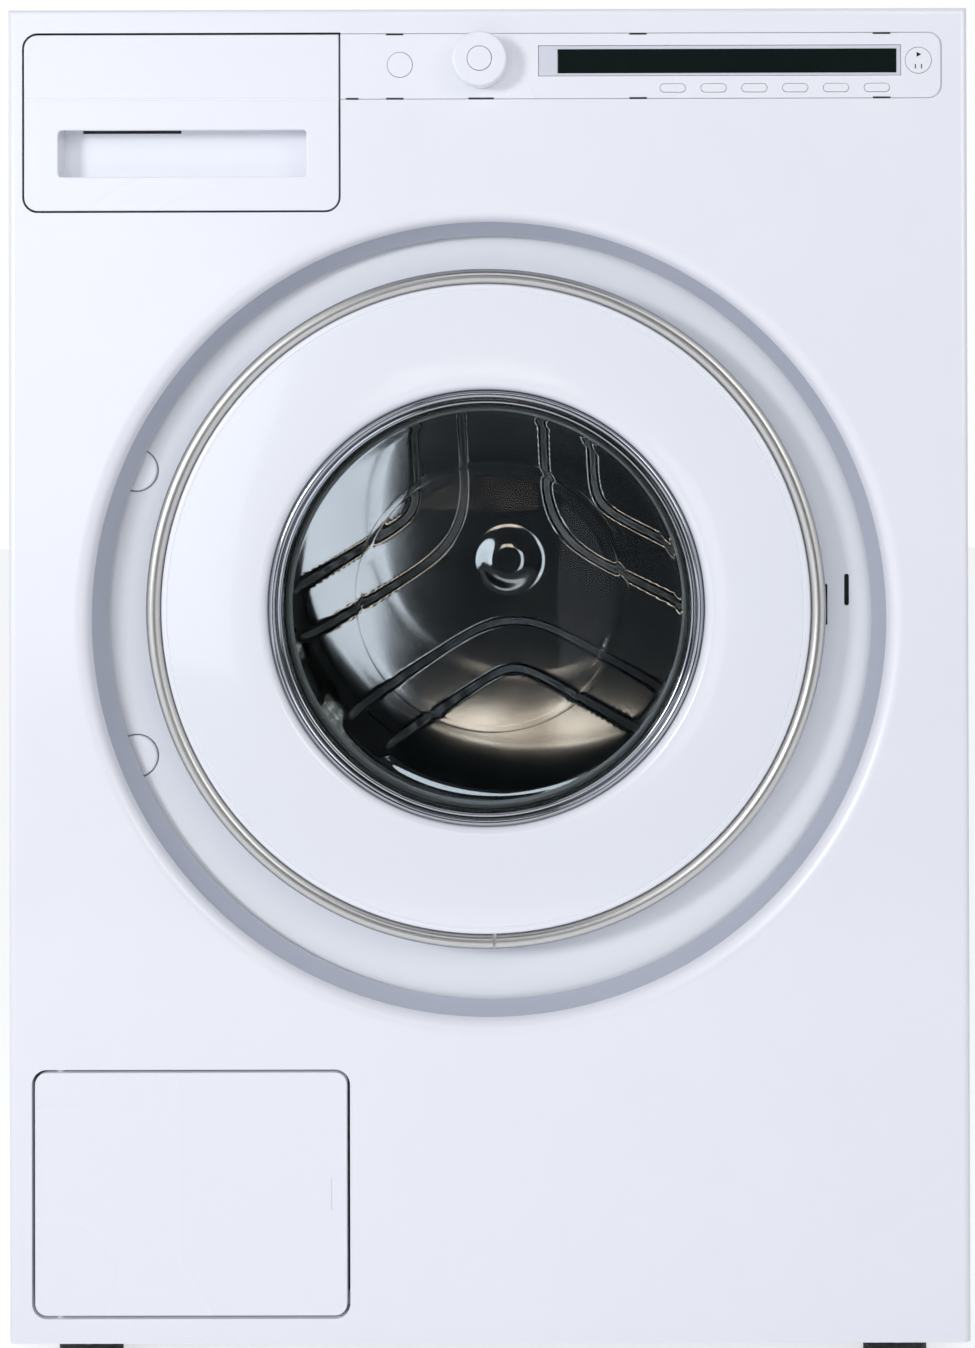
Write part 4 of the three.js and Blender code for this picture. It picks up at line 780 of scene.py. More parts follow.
dressed(strip, "control_strip", "cabinet", WHITE_ABS, ["control_panel"])
# Black pieces set a little behind the face in each slot are painted shade for the shaded gaps round the hooks.
hook_slot_shade = joined(*[
    ease(plate(around(x, width - 0.4), around(strip_z[seam], 0.9), (0.5, 1.45)), 0.12) for x, seam, width in SLOTS
])
dressed(hook_slot_shade, "snap_hook_slots_painted_shade", "cabinet", BLACK_PLASTIC)
print("control strip", [round(v, 1) for v in strip_x], "with", len(SLOTS), "hook slots")

# %% [markdown]
# The display is a dark acrylic window in a pale frame that is wide at its left. Acrylic is smooth and deep, so it
# has a low roughness, a coat, and a little unevenness from the display behind it.

# %% The display and its frame
SCREEN_FRONT, SCREEN_BACK, FRAME_LEDGE, FRAME_BACK = 0.6, 3.0, 3.3, 5.7
SCREEN_X, SCREEN_Z = (window_x[0] + 11.6, window_x[1] - 2.4), (window_z[0] + 1.5, window_z[1] - 2.0)
frame_abs = moulded_abs("moulded_frame_grey", "#DADDE7", "#D5D8E3", roughness=0.32)
acrylic, acrylic_tree, acrylic_surface = finish("smoked_acrylic", "#101918", 0.08, IOR=1.49, Coat_Weight=0.4)
mottle(acrylic_tree, acrylic_surface, grain(acrylic_tree, 25), "#0E1716", "#141E1D")
relief(acrylic_tree, acrylic_surface, grain(acrylic_tree, 30), 0.01)
frame_plate = combine(
    plate(window_x, window_z, (window_front, FRAME_BACK), 0.6),
    plate(grow(window_x, WINDOW_LEDGE), grow(window_z, WINDOW_LEDGE), (FRAME_LEDGE, FRAME_BACK)),
    operation="UNION",
)
frame_plate = ease(combine(frame_plate, plate(SCREEN_X, SCREEN_Z, (-5, SCREEN_BACK))), 0.2, segments=2)
dressed(frame_plate, "display_frame", "cabinet", frame_abs, ["display_window"])
screen = ease(plate(grow(SCREEN_X, -0.1), grow(SCREEN_Z, -0.1), (SCREEN_FRONT, SCREEN_BACK)), 0.25)
dressed(screen, "display_screen", "cabinet", acrylic)
print("screen", round(SCREEN_X[1] - SCREEN_X[0], 1), "mm wide")

# %% [markdown]
# The buttons are caps on collars: the collar lies behind the strip and keeps the cap from falling out. Each cap is
# slightly domed at its edge. The knob is a turned cup round a centre button of its own. The start button
# carries the sign that every player has for start and pause, printed dark.

# %% Buttons and knob
KEY_PROUD, KEY_ROLL, COLLAR, COLLAR_START, COLLAR_END = 0.6, 0.5, 1.2, 3.3, 4.9


def round_cap(centre, radius, body, node):
    section = [(0, -KEY_PROUD), *arc(radius - KEY_ROLL, KEY_ROLL - KEY_PROUD, KEY_ROLL, -90, 0, 4)]
    outside = radius + COLLAR
    section += [(radius, COLLAR_START), (outside, COLLAR_START), (outside, COLLAR_END), (0, COLLAR_END)]
    dressed(spun(section, centre, 96), node + "_cap", body, WHITE_ABS, [node])


round_cap(POWER, POWER_RADIUS, "power_key", "power_button")
round_cap(START, START_RADIUS, "start_key", "start_button")
for number, place in enumerate(OPTIONS, 1):
    collar = pill(place, COLLAR, (COLLAR_START, COLLAR_END))
    cap = combine(pill(place, 0, (-KEY_PROUD, 4.0)), collar, operation="UNION")
    ease(cap, 0.4, where=lambda edge: max(v.co.y for v in edge.verts) < FACE)
    node, body = f"option_button_{number}", f"option_key_{number}"
    dressed(cap, f"option_cap_{number}", body, WHITE_ABS, [node])
knob_line = [
    (0, -3.3), (7.7, -3.3), (7.7, -15.5), *arc(8.1, -15.5, 0.4, 180, 270, 3), *arc(15.2, -14.4, 1.5, -90, 0, 8),
    (16.7, -1.2), *arc(15.9, -1.1, 0.8, 0, 90, 3), (4, -0.3), (4, 13), (0, 13),
]
dressed(spun(knob_line, KNOB, 128), "selector_knob", "knob", WHITE_ABS, ["programme_knob"])
centre_line = [(0, -16.4), *arc(6.7, -15.7, 0.7, -90, 0, 4), (7.4, -5.4), (0, -5.4)]
dressed(spun(centre_line, KNOB, 96), "knob_centre_cap", "knob_centre", WHITE_ABS, ["knob_button"])
ink, ink_tree, ink_surface = finish("pad_printed_ink", "#2B2D31", 0.5)
mottle(ink_tree, ink_surface, grain(ink_tree, 0.5), "#2B2D31", "#37393D")
INK_FRONT, INK_BACK = -0.63, -0.5
bars = [
    plate(around(START[0] + side, 0.7), (START[1] - 5.2, START[1] - 2.4), (INK_FRONT, INK_BACK))
    for side in (-1.9, 1.9)
]
triangle = bmesh.new()
tips = [point(START[0] + x, INK_FRONT, START[1] + z) for x, z in ((-1.1, 2.1), (1.7, 3.6), (-1.1, 5.1))]
triangle.faces.new([triangle.verts.new(tip) for tip in tips])
bmesh.ops.solidify(triangle, geom=triangle.faces[:], thickness=(INK_BACK - INK_FRONT) * MM)
bmesh.ops.recalc_face_normals(triangle, faces=triangle.faces)
dressed(joined(*bars, triangle), "start_pause_print", "start_key", ink)
print("8 buttons and a knob")

# %% [markdown]
# The drawer's front is a hollow moulding with a slot for the fingers. The slot runs up behind its upper edge, so
# that fingers can hook in. A hole behind the undercut opens to the dark inside, and is the dark line in the
# photograph; a black plate behind it is painted shade that keeps the hole dark. A shallow groove across the front
# carries on the control strip's lower seam.

# %% The drawer's front with its finger slot
HANDLE_X = (drawer_x[0] + 21, drawer_x[0] + 175)
HANDLE_Z = (drawer_z[0] + 21, drawer_z[0] + 50)
HANDLE_DEPTH, UNDERCUT, EDGE_OF_SLOT, WALL = 19.0, 7.0, 4.0, 2.5
DRAWER_DEPTH, DRAWER_HOLLOW = (0, 24), (3, 30)
shell = combine(
    plate(drawer_x, drawer_z, DRAWER_DEPTH, DRAWER_CORNER, DRAWER_ROUND),
    plate(grow(drawer_x, -WALL), grow(drawer_z, -WALL), DRAWER_HOLLOW, DRAWER_CORNER - WALL, DRAWER_ROUND),
)
pocket = plate(
    grow(HANDLE_X, WALL), (HANDLE_Z[0] - WALL, HANDLE_Z[1] + UNDERCUT + WALL), (1.5, HANDLE_DEPTH + WALL), 3
)
shell = combine(shell, pocket, operation="UNION")
slot = plate(HANDLE_X, HANDLE_Z, (-5, HANDLE_DEPTH), 2.4)
slot_room = plate(HANDLE_X, (HANDLE_Z[0] + 2, HANDLE_Z[1] + UNDERCUT), (EDGE_OF_SLOT, HANDLE_DEPTH), 1.5)
groove = plate(grow(drawer_x, 5), around(strip_z[0], 0.8), (-5, 0.7))
SLIT_X = (-254.5, -192.6)
slit_hole = plate(SLIT_X, (HANDLE_Z[1] - 0.4, HANDLE_Z[1] + UNDERCUT - 1), (HANDLE_DEPTH - 2, HANDLE_DEPTH + 5))
shell = combine(shell, slot, slot_room, groove, slit_hole)
ease(shell, 0.7, where=at_face)
dressed(shell, "drawer_face", "drawer", WHITE_ABS, ["drawer_front"])
copied("drawer_tray", 0.5, "detergent_tray", "drawer", GREY_ABS)
# The black plate behind the hole is painted shade, which keeps the hole as dark as the drawer's shaded inside.
shade_plate_z = (HANDLE_Z[1] - 3, HANDLE_Z[1] + UNDERCUT + 1)
shade_plate_depth = (HANDLE_DEPTH + WALL + 0.2, HANDLE_DEPTH + WALL + 1.6)
shade_plate = ease(plate(grow(SLIT_X, 2), shade_plate_z, shade_plate_depth), 0.3)
dressed(shade_plate, "slit_painted_shade_plate", "drawer", BLACK_PLASTIC)
print("finger slot", HANDLE_X, HANDLE_Z)

# %% [markdown]
# The service flap is a shallow lid on two pins, with a notch at its right edge for a coin or a nail. Behind it is
# the cap of the pump's filter.

# %% The service flap and the filter's cap
FLAP_WALL, FLAP_DEPTH, FLAP_HOLLOW = 2.0, (0, 8), (2.5, 15)
flap = combine(
    plate(flap_x, flap_z, FLAP_DEPTH, FLAP_CORNER),
    plate(grow(flap_x, -FLAP_WALL), grow(flap_z, -FLAP_WALL), FLAP_HOLLOW, FLAP_CORNER - FLAP_WALL),
)
pins = [
    ease(bar(point(PIN_X, PIN_DEPTH, (low + high) / 2), PIN_RADIUS, high - low), 0.4)
    for low, high in ((pinned_z[0], flap_z[0] + FLAP_WALL), (flap_z[1] - FLAP_WALL, pinned_z[1]))
]
flap = combine(flap, *pins, operation="UNION")
coin_slot = plate((flap_x[1] - 9.6, flap_x[1] - 8), around(sum(flap_z) / 2, 19), (-5, 0.9), 0.7)
flap = combine(flap, coin_slot)
ease(flap, 0.8, where=at_face)
dressed(flap, "service_lid", "flap", WHITE_ABS, ["service_flap"])
copied("pump_filter", 0.8, "filter_screw_cap", "filter_cap", WHITE_ABS, angle=45)
print("flap", flap_x, flap_z)

# %% [markdown]
# Round the door runs a pale ring that hides the tub's front. It is one turned moulding with a rolled outer edge,
# two round caps over the hinge's screws, and a slot over the lock. Behind it the tub's front cover is drawn steel
# whose land takes the door's seal.

# %% The surround ring
HINGE_X, HINGE_DEPTH, KNUCKLE_RADIUS = -203.0, 14.0, 5.0
LATCH_X = 206.0
CAPS, CAP_HOLE, CAP_STEPS = [(-221.0, 86.0), (-221.0, -94.0)], 13.9, 96
LOCK_SLOT_X, LOCK_SLOT_Z, LEG_CIRCLE = (224.9, 227.9), (-0.5, 19.5), 224.5
PAST_RING = (-5, 40)
ring_line = [
    (250.5, 35), (250.5, 29.2), *arc(247.8, 29.2, 2.7, 0, -78, 6), (240, 27.2), (222, 29.4), (205, 32),
]
ring_back = [(205, 34), (222, 31.4), (240, 29.2), (247.4, 28.6), (248.5, 30), (248.5, 35)]
ring = spun(ring_line + ring_back)


def about_axis(x, z):
    """A place measured from the drum's axis, in the frame's own X and Z."""
    return (AXIS[0] + x, AXIS[1] + z)


def tub_block(x, z, depth, corner=0.0):
    """A plate whose x and z are measured from the drum's axis."""
    low, high = about_axis(x[0], z[0]), about_axis(x[1], z[1])
    return plate((low[0], high[0]), (low[1], high[1]), depth, corner)


dome = [(0, 26.8), *arc(11.7, 28.2, 1.5, -90, 0, 6), (13.2, 33), (0, 33)]
caps = [spun(dome, about_axis(*place), CAP_STEPS) for place in CAPS]
ring = combine(ring, *[round_plate(about_axis(*place), CAP_HOLE, (20, 33.5), CAP_STEPS) for place in CAPS])
ring = combine(
    ring,
    tub_block((HINGE_X - 4.3, HINGE_X + 12), (-42, 42), PAST_RING, 2),
    tub_block((LATCH_X - 2.5, LATCH_X + 8.5), (-13, 13), PAST_RING, 1),
    tub_block(LOCK_SLOT_X, LOCK_SLOT_Z, PAST_RING, 1.4),
)
ledges = [round_plate(about_axis(*place), CAP_HOLE, (31.8, 33.2), CAP_STEPS) for place in CAPS]
leg_places = [Matrix.Rotation(math.tau * (i + 0.5) / 6, 2) @ Vector((LEG_CIRCLE, 0)) for i in range(6)]
legs = [round_plate(about_axis(*place), 4, (30.8, 76.5), 24) for place in leg_places]
dressed(joined(ring, *ledges, *legs), "surround_moulding", "tub", PALE_ABS, ["surround_ring"])
dressed(joined(*caps), "hinge_screw_caps", "tub", PALE_ABS)
print("surround ring with", len(caps), "caps and", len(legs), "legs")

# %% [markdown]
# The slot shows black: the lock behind it is black and lies in shade, and a path tracer would find a lit room
# there. So a black insert sits in the slot as painted shade.

# %% The black insert of painted shade in the lock's slot, and the tub's front cover
# The insert is painted shade for the deep slot over the lock.
insert = tub_block(grow(LOCK_SLOT_X, 0.2), grow(LOCK_SLOT_Z, 0.3), (33.5, 36), 1.2)
dressed(ease(insert, 0.2), "lock_slot_painted_shade", "tub", BLACK_PLASTIC)
cover_line = [
    (270, 77.2), (203, 77.2), *arc(199.5, 73.7, 3.5, 90, 0, 4)[::-1][1:], (199, 41), *arc(195, 40, 4, 0, -90, 5),
    (176, 36), (157, 62), (151, 76),
]
cover_back = [(153.4, 77), (159, 63.4), (177.4, 38.5), (195, 38.5), (196.6, 41), (200.6, 79.7), (270, 79.7)]
posts = []
for low, high in ((-39.3, -25.3), (25.3, 39.3)):
    post = tub_block((HINGE_X - 2.3, HINGE_X + 5), (low, high), (HINGE_DEPTH, 78))
    middle = point(AXIS[0] + HINGE_X, HINGE_DEPTH, AXIS[1] + (low + high) / 2)
    posts += [ease(post, 0.4), ease(bar(middle, KNUCKLE_RADIUS, high - low), 0.6)]
cover = joined(spun(cover_line + cover_back), *posts)
dressed(cover, "tub_cover_pressing", "tub", ZINC, ["tub_front_cover"])
print("tub cover and", len(posts) // 2, "hinge posts")

# %% [markdown]
# The door is a white lacquered ring in a steel trim. The trim is a strip rolled into a ring, so it has one joint,
# which the photograph shows at the foot as a small wedge. The white ring is almost flat, with a fine step near
# the trim and a roll down to the window.

# %% The white ring and the steel trim
frame_line = [
    (136, 27), (136, 13.5), *arc(143.5, 13.5, 7.5, 180, 255, 8), (152, 5.85), (175, 5.35), (197.2, 5.5),
    (197.6, 5.9), (198.1, 5.9), (198.5, 5.5), *arc(199.9, 7.5, 2.0, -90, 0, 5), (201.9, 8.8), (209, 8.8), (209, 11.8),
    (199, 11.8), (199, 27),
]
notch = tub_block((HINGE_X - 9.3, HINGE_X + 7), (-41.3, 41.3), (8.7, 40))
door_ring = combine(spun(frame_line), notch)
knuckle = bar(point(AXIS[0] + HINGE_X, HINGE_DEPTH, AXIS[1]), KNUCKLE_RADIUS, 50, segments=48)
arm = tub_block((HINGE_X, -192), (-25, 25), (10, 18))
door_ring = joined(door_ring, ease(knuckle, 0.5), ease(arm, 0.8))
dressed(door_ring, "door_white_ring", "door", LACQUERED_ABS, ["door_frame"])
TRIM_MIDDLE, TRIM_HALF, TRIM_BACK, TRIM_RISE = 206.85, 4.65, 8.5, 4.5
JOINT_X, JOINT_WIDTH = 5.0, 2.2
half_turn = [math.pi * i / 24 for i in range(25)]
crown = [(TRIM_MIDDLE + TRIM_HALF * math.cos(a), TRIM_BACK - TRIM_RISE * math.sin(a)) for a in half_turn]
wedge = tub_block(around(JOINT_X, JOINT_WIDTH), (-214, -200), THROUGH)
bmesh.ops.scale(
    wedge, vec=(0.45, 1, 1), verts=[v for v in wedge.verts if v.co.z < (AXIS[1] - 207) * MM],
    space=Matrix.Translation(-point(AXIS[0] + JOINT_X, 0, 0)),
)
dressed(combine(spun(crown), wedge), "steel_trim", "door", BRUSHED, ["door_trim_ring"], angle=50)
print("door ring and trim, joint", JOINT_WIDTH, "mm wide")

# %% [markdown]
# The window's rim is chromed: a bead, a groove and a band that runs down to the glass, each of which mirrors its
# own line of light and dark. A black gasket lies between it and the glass. The glass is a deep pressed bowl of
# even wall, so it is one bent line spun with its thickness.

# %% Window rim, gasket and glass
rim_line = [
    (135.7, 22), (135.7, 11.3), *arc(133.4, 11.3, 2.3, 0, -170, 10), (130.9, 12.6), (130.3, 12.4),
    *arc(129.0, 13.6, 1.4, -80, -150, 3), (127.2, 15.6), (126.4, 18.0), (126.3, 22),
]
dressed(spun(rim_line), "window_chrome_rim", "door", CHROME, ["window_rim"], angle=60)
gasket_line = [(126.2, 21.6), *arc(125.3, 20.2, 0.9, 20, -140, 8), (124.2, 21.6), (124.2, 22.1), (126.2, 22.1)]
dressed(spun(gasket_line), "window_gasket", "door", BLACK_RUBBER)
BASE, END, ROUNDED, GLASS_WALL = 90.0, 106.3, 12.0, 4.0
bowl_in = [(135.7, 22.3), (123.5, 22.3), *arc(123.5, 24.3, 2.0, -100, -165, 4), (BASE, END - ROUNDED)]
bowl_in += arc(BASE - ROUNDED, END - ROUNDED, ROUNDED, 10, 90, 10) + [(40, END), (0, END)]
bowl = spun(bowl_in, closed=False)
bmesh.ops.solidify(bowl, geom=bowl.faces[:], thickness=-GLASS_WALL * MM)
window = dressed(bowl, "window_bowl", "door", GLASS, ["door_glass"])
depths = [(v.co.y - FACE) / MM for v in window.data.vertices]
print("glass from depth", round(min(depths), 1), "to", round(max(depths), 1))

# %% [markdown]
# Behind the ring lie the seal with its bead, the hook for the lock, and the hinge's pin. The door opens, so their
# backs are seen and they get the same care.

# %% Seal, hook and pin
seal_line = [
    (123, 27.3), (193, 27.3), (193, 35.0), *arc(191.3, 34.4, 1.4, 20, 90, 3), (179.6, 35.6),
    *arc(179.4, 34.2, 1.4, 100, 180, 3), (178, 30.3), (124, 30.3), (123, 29.6),
]
dressed(spun(seal_line), "door_lip_seal", "door", GREY_RUBBER, ["door_seal"])
copied("latch_hook", 0.4, "latch_pressing", "door", ZINC)
copied("hinge_pin", 0.5, "hinge_rod", "tub", ZINC, angle=45)
copied("door_lock", 0.8, "lock_case", "tub", BLACK_PLASTIC)
print("seal, hook, pin and lock")

# %% [markdown]
# The drum is polished stainless steel. Its wall is rolled sheet with rows of small holes and pressed dimples, too
# many to model, so its material draws them in polar coordinates: holes 3 mm wide are seen as dark dots, and the
# dimples between them as a bump. The back is one pressing with three raised arms and a hub between three sunken
# lobes.

# %% Drum steel, plain and perforated
HOLE_PITCH, WALL_RADIUS = 12.0, 238.0


def polished_steel():
    material, tree, surface = finish("polished_drum_steel", "#B6B8B9", 0.05, Metallic=1.0)
    mottle(tree, surface, grain(tree, 50), "#B0B2B4", "#BDBFC0")
    tree.links.new(span(tree, grain(tree, 35), 0.035, 0.065), surface.inputs["Roughness"])
    return material


def perforated_steel():
    material, tree, surface = finish("perforated_drum_steel", "#D2D3D4", 0.3, Metallic=1.0)
    where = polar(tree, AXIS, 6.0, 1 / (0.4 * MM), 1 / (4 * MM))
    brushing = add(tree, "TexNoise", {"Vector": where, "Scale": 1.0, "Detail": 2.0}).outputs["Fac"]
    tree.links.new(span(tree, brushing, 0.26, 0.36), surface.inputs["Roughness"])
    cells = polar(tree, AXIS, WALL_RADIUS / HOLE_PITCH, 1 / (HOLE_PITCH * MM), 1 / (HOLE_PITCH * MM))
    parts = add(tree, "SeparateXYZ", {"Vector": cells}).outputs
    flat = add(tree, "CombineXYZ", {"X": parts["X"], "Y": parts["Z"]}).outputs["Vector"]
    dots = add(tree, "TexVoronoi", {"Vector": flat, "Scale": 1.0, "Randomness": 0.0}, voronoi_dimensions="2D")
    hole = span(tree, dots.outputs["Distance"], 1.0, 0.0, 0.10, 0.14)
    dimple = span(tree, dots.outputs["Distance"], 0.0, 1.0, 0.1, 0.62)
    mottle(tree, surface, hole, "#D2D3D4", "#0C0D0E")
    relief(tree, surface, dimple, 1.2)
    return material


DRUM_PLAIN, DRUM_WALL = polished_steel(), perforated_steel()
DRUM_RADIUS, DRUM_FRONT, DRUM_BACK = 240.0, 88.0, 416.0
print("drum", 2 * DRUM_RADIUS, "mm wide and", DRUM_BACK - DRUM_FRONT, "mm deep")

# %% [markdown]
# The pressed back starts as a flat disc, spun from a line with many points so that it is a fine polar grid. Each
# point is then lifted by a rule: how far it lies from the nearest arm's edge says how high the press left it. Two
# low steps lead down from an arm to a lobe, with a wide shelf between them, and the lobes end before the drum's
# wall. The whole back is also dished by a few millimetres, so that it mirrors what stands before the window and
# not the inside of the door.

# %% The pressed back
ARMS = [math.radians(92.4 + 120 * i) for i in range(3)]
ARM_HALF, ARM_FLARE, ARM_RISE = 27.0, 0.02, 6.5
LOBE_END, SHELF_WIDTH, SHELF_END, STEP_WIDTH = 190.0, 38.0, 3.0, 5.5
DISHED_RADIUS, DISHED_START, DISHED_END = 1350.0, 214.0, 230.0
HUB_TOP, HUB_FOOT, HUB_RISE = 9.0, 30.0, 1.55
ARM_BEND, ARM_FOOT = 158.0, 205.0


def ramp(value, start, end):
    """From 0 to 1 between a start and an end, level at both."""
    share = min(max((value - start) / (end - start), 0), 1)
    return share * share * (3 - 2 * share)


def nearest(distances, soft=12.0):
    """The least of several distances, rounded off where two are alike."""
    return -soft * math.log(sum(math.exp(-d / soft) for d in distances))


def press_height(x, z):
    """How far the press lifts a point towards the front, in millimetres from the drum's axis."""
    radius = math.hypot(x, z)
    away = []
    for angle in ARMS:
        along = x * math.cos(angle) + z * math.sin(angle)
        across = abs(z * math.cos(angle) - x * math.sin(angle))
        if along > 0:
            away.append(across - ARM_HALF - ARM_FLARE * along)
        else:
            away.append(radius - ARM_HALF)
    shelf = nearest([*away, LOBE_END - radius])
    floor = nearest([*[d - SHELF_WIDTH for d in away], LOBE_END - SHELF_END - radius], 7)
    step = (ramp(shelf, 0, STEP_WIDTH) + ramp(floor, 0, STEP_WIDTH)) / 2
    arm = ARM_RISE * (1 - step) * (1 - ramp(radius, ARM_BEND, ARM_FOOT))
    dished = radius * radius / (2 * DISHED_RADIUS) * (1 - ramp(radius, DISHED_START, DISHED_END))
    return arm + dished + HUB_RISE * (1 - ramp(radius, HUB_TOP, HUB_FOOT))


rings = [*range(0, 216, 2), 218, 222, 226, 230, 236]
back = spun([(radius, DRUM_BACK - 1.5) for radius in rings], steps=360, closed=False)
for v in back.verts:
    v.co.y -= press_height(v.co.x / MM - AXIS[0], v.co.z / MM - AXIS[1]) * MM
bmesh.ops.recalc_face_normals(back, faces=back.faces)
if sum(f.normal.y for f in back.faces) > 0:
    bmesh.ops.reverse_faces(back, faces=back.faces)
bmesh.ops.solidify(back, geom=back.faces[:], thickness=1.2 * MM)
pressing = dressed(back, "drum_back_pressing", "drum", DRUM_PLAIN, ["drum_shell"], angle=70)
print("back pressed,", len(pressing.data.polygons), "faces")

# %% [markdown]
# The wall and the front are one bent line, spun: a cylinder, a rounded corner and a front that turns in round the
# mouth. Three lifters stand on the wall, in line with the back's arms. Each is a low bar pressed from sheet and
# drawn in at its waist, with a rounded back.

# %% Wall, front and lifters
wall_line = [
    (236.6, 415.8), *arc(236, 412, 4, 80, 0, 4), *arc(236, 92, 4, 0, -90, 4), (162, 88),
    *arc(162, 92, 4, -90, -180, 5), (158, 97), (159.5, 97), *arc(162, 92, 2.5, -180, -90, 4),
    *arc(236, 92, 2.5, -90, 0, 3), *arc(236, 412, 2.5, 0, 80, 3),
]
dressed(spun(wall_line), "drum_wall", "drum", DRUM_WALL, angle=50)
LIFTER_LENGTH, LIFTER_WIDTH, LIFTER_HEIGHT, LIFTER_MIDDLE, LIFTER_FOOT = 270, 84, 30, 250, 237.5
LIFTER_WAIST, TOP_WIDTH, TOP_LENGTH = 0.62, 0.62, 0.95


def lifter(angle):
    """A hollow-waisted bar, made flat at the origin, then set on the drum's wall at an angle."""
    bm = bmesh.new()
    bmesh.ops.create_grid(bm, x_segments=2, y_segments=16, size=0.5)
    for v in bm.verts:
        waist = LIFTER_WAIST + (1 - LIFTER_WAIST) * math.sin(math.pi * abs(v.co.y)) ** 1.4
        v.co = Vector((v.co.x * LIFTER_WIDTH * waist, v.co.y * LIFTER_LENGTH + LIFTER_MIDDLE, 0)) * MM
    raised = bmesh.ops.extrude_face_region(bm, geom=bm.faces[:])["geom"]
    top = [v for v in raised if isinstance(v, bmesh.types.BMVert)]
    bmesh.ops.translate(bm, verts=top, vec=(0, 0, -LIFTER_HEIGHT * MM))
    for v in top:
        v.co.x *= TOP_WIDTH
        v.co.y = (v.co.y - LIFTER_MIDDLE * MM) * TOP_LENGTH + LIFTER_MIDDLE * MM
    bmesh.ops.recalc_face_normals(bm, faces=bm.faces)
    ease(bm, 9, angle=35, segments=5, where=lambda edge: max(v.co.z for v in edge.verts) < -1 * MM)
    bmesh.ops.translate(bm, verts=bm.verts, vec=(0, FACE, LIFTER_FOOT * MM))
    turn = Matrix.Translation((DRUM_X, 0, DRUM_Z)) @ Matrix.Rotation(math.pi / 2 - angle, 4, "Y")
    bmesh.ops.transform(bm, matrix=turn, verts=bm.verts)
    return bm


lifters = [lifter(angle) for angle in ARMS]
dressed(joined(*lifters), "drum_lifters", "drum", DRUM_PLAIN, angle=40)
print("drum wall and", len(lifters), "lifters")

# %% [markdown]
# The machine stands on four levelling feet. Each has a ribbed rubber pad, a steel hexagon for the spanner and a
# threaded rod that screws into a boss of the base. The rod's thread is drawn as rings of the thread's pitch,
# which can't be told from a helix at this size.

# %% Levelling feet
def upright(section, x, depth, steps=64):
    """A section of (radius, height) points turned about an upright axis."""
    places = [point(x + radius, depth, z) for radius, z in section]
    return turned(places, point(x, depth, 0), (0, 0, 1), steps)


def thread(radius, start, end, pitch=1.5, height=0.7):
    """Points down one side of a threaded rod, crest and root in turn."""
    count = int((end - start) / pitch)
    points = []
    for i in range(count):
        points += [(radius - height, start + pitch * i), (radius, start + pitch * (i + 0.5))]
    return [(0, start), *points, (radius - height, end), (0, end)]


pad_line = [(0, 0), (17.6, 0), *arc(17.8, 2.2, 2.2, -90, 0, 5), (20, 3.6), (19.3, 4.0), (19.3, 4.6), (20, 5.0)]
pad_line += [(20, 6.0), (19.3, 6.4), (19.3, 7.0), (20, 7.4), *arc(18.6, 8.6, 1.4, 0, 90, 4), (0, 10)]
HEXAGON_RADIUS, HEXAGON_HEIGHT, HEXAGON_MIDDLE = 11.0, 5.5, 12.7
ROD_RADIUS, ROD_START, ROD_END = 5.0, 10.0, 56.0
for corner in ("left_front", "left_rear", "right_front", "right_rear"):
    foot, body = f"foot_{corner}", f"levelling_foot_{corner}"
    x, depth = (sum(ends) / 2 for ends in reach(foot)[:2])
    dressed(upright(pad_line, x, depth), f"foot_pad_{corner}", body, BLACK_RUBBER, [foot])
    hexagon = bar(point(x, depth, HEXAGON_MIDDLE), HEXAGON_RADIUS, HEXAGON_HEIGHT, segments=6)
    rod = upright(thread(ROD_RADIUS, ROD_START, ROD_END), x, depth, 32)
    dressed(joined(ease(hexagon, 0.6), rod), f"foot_rod_{corner}", body, ZINC, angle=50)
print("4 feet, rods to", round(reach("foot_left_front")[2][1], 1), "mm")

# %% [markdown]
# The back is zinc coated sheet with a cover over the belt. Both are stiffened by pressed beads, and self-tapping
# screws with a cross hold them. The hose's thread, the drain pipe and the cable's gland stand out through it.

# %% Back panel with its cover, beads and screws
BACK, COVER_SHEET = 560.0, 1.2
COVER_X, COVER_Z = (-185.0, 185.0), (215.0, 700.0)


def bead(x, z, corner, width=11.0, rise=2.6, sheet=BACK):
    """A raised band that runs round a rectangle."""
    band = combine(
        plate(x, z, (sheet - 0.5, sheet + rise), corner),
        plate(grow(x, -width), grow(z, -width), (sheet - 5, sheet + 5), corner - width * 0.6),
    )
    return ease(band, 2.2, segments=4, where=lambda edge: min(v.co.y for v in edge.verts) > FACE + (sheet + 1) * MM)


def screw(x, z, sheet):
    """A flanged screw head with a cross cut into it."""
    line = [(0, sheet + 2.6), (2.6, sheet + 2.6), *arc(2.6, sheet + 1.0, 1.6, 90, 10, 5), (5.2, sheet + 0.9)]
    line += [(5.2, sheet - 0.2), (0, sheet - 0.2)]
    cross = [plate(around(x, a), around(z, b), (sheet + 1.2, sheet + 6)) for a, b in ((4.0, 0.9), (0.9, 4.0))]
    return combine(spun(line, (x, z), 48), *cross)


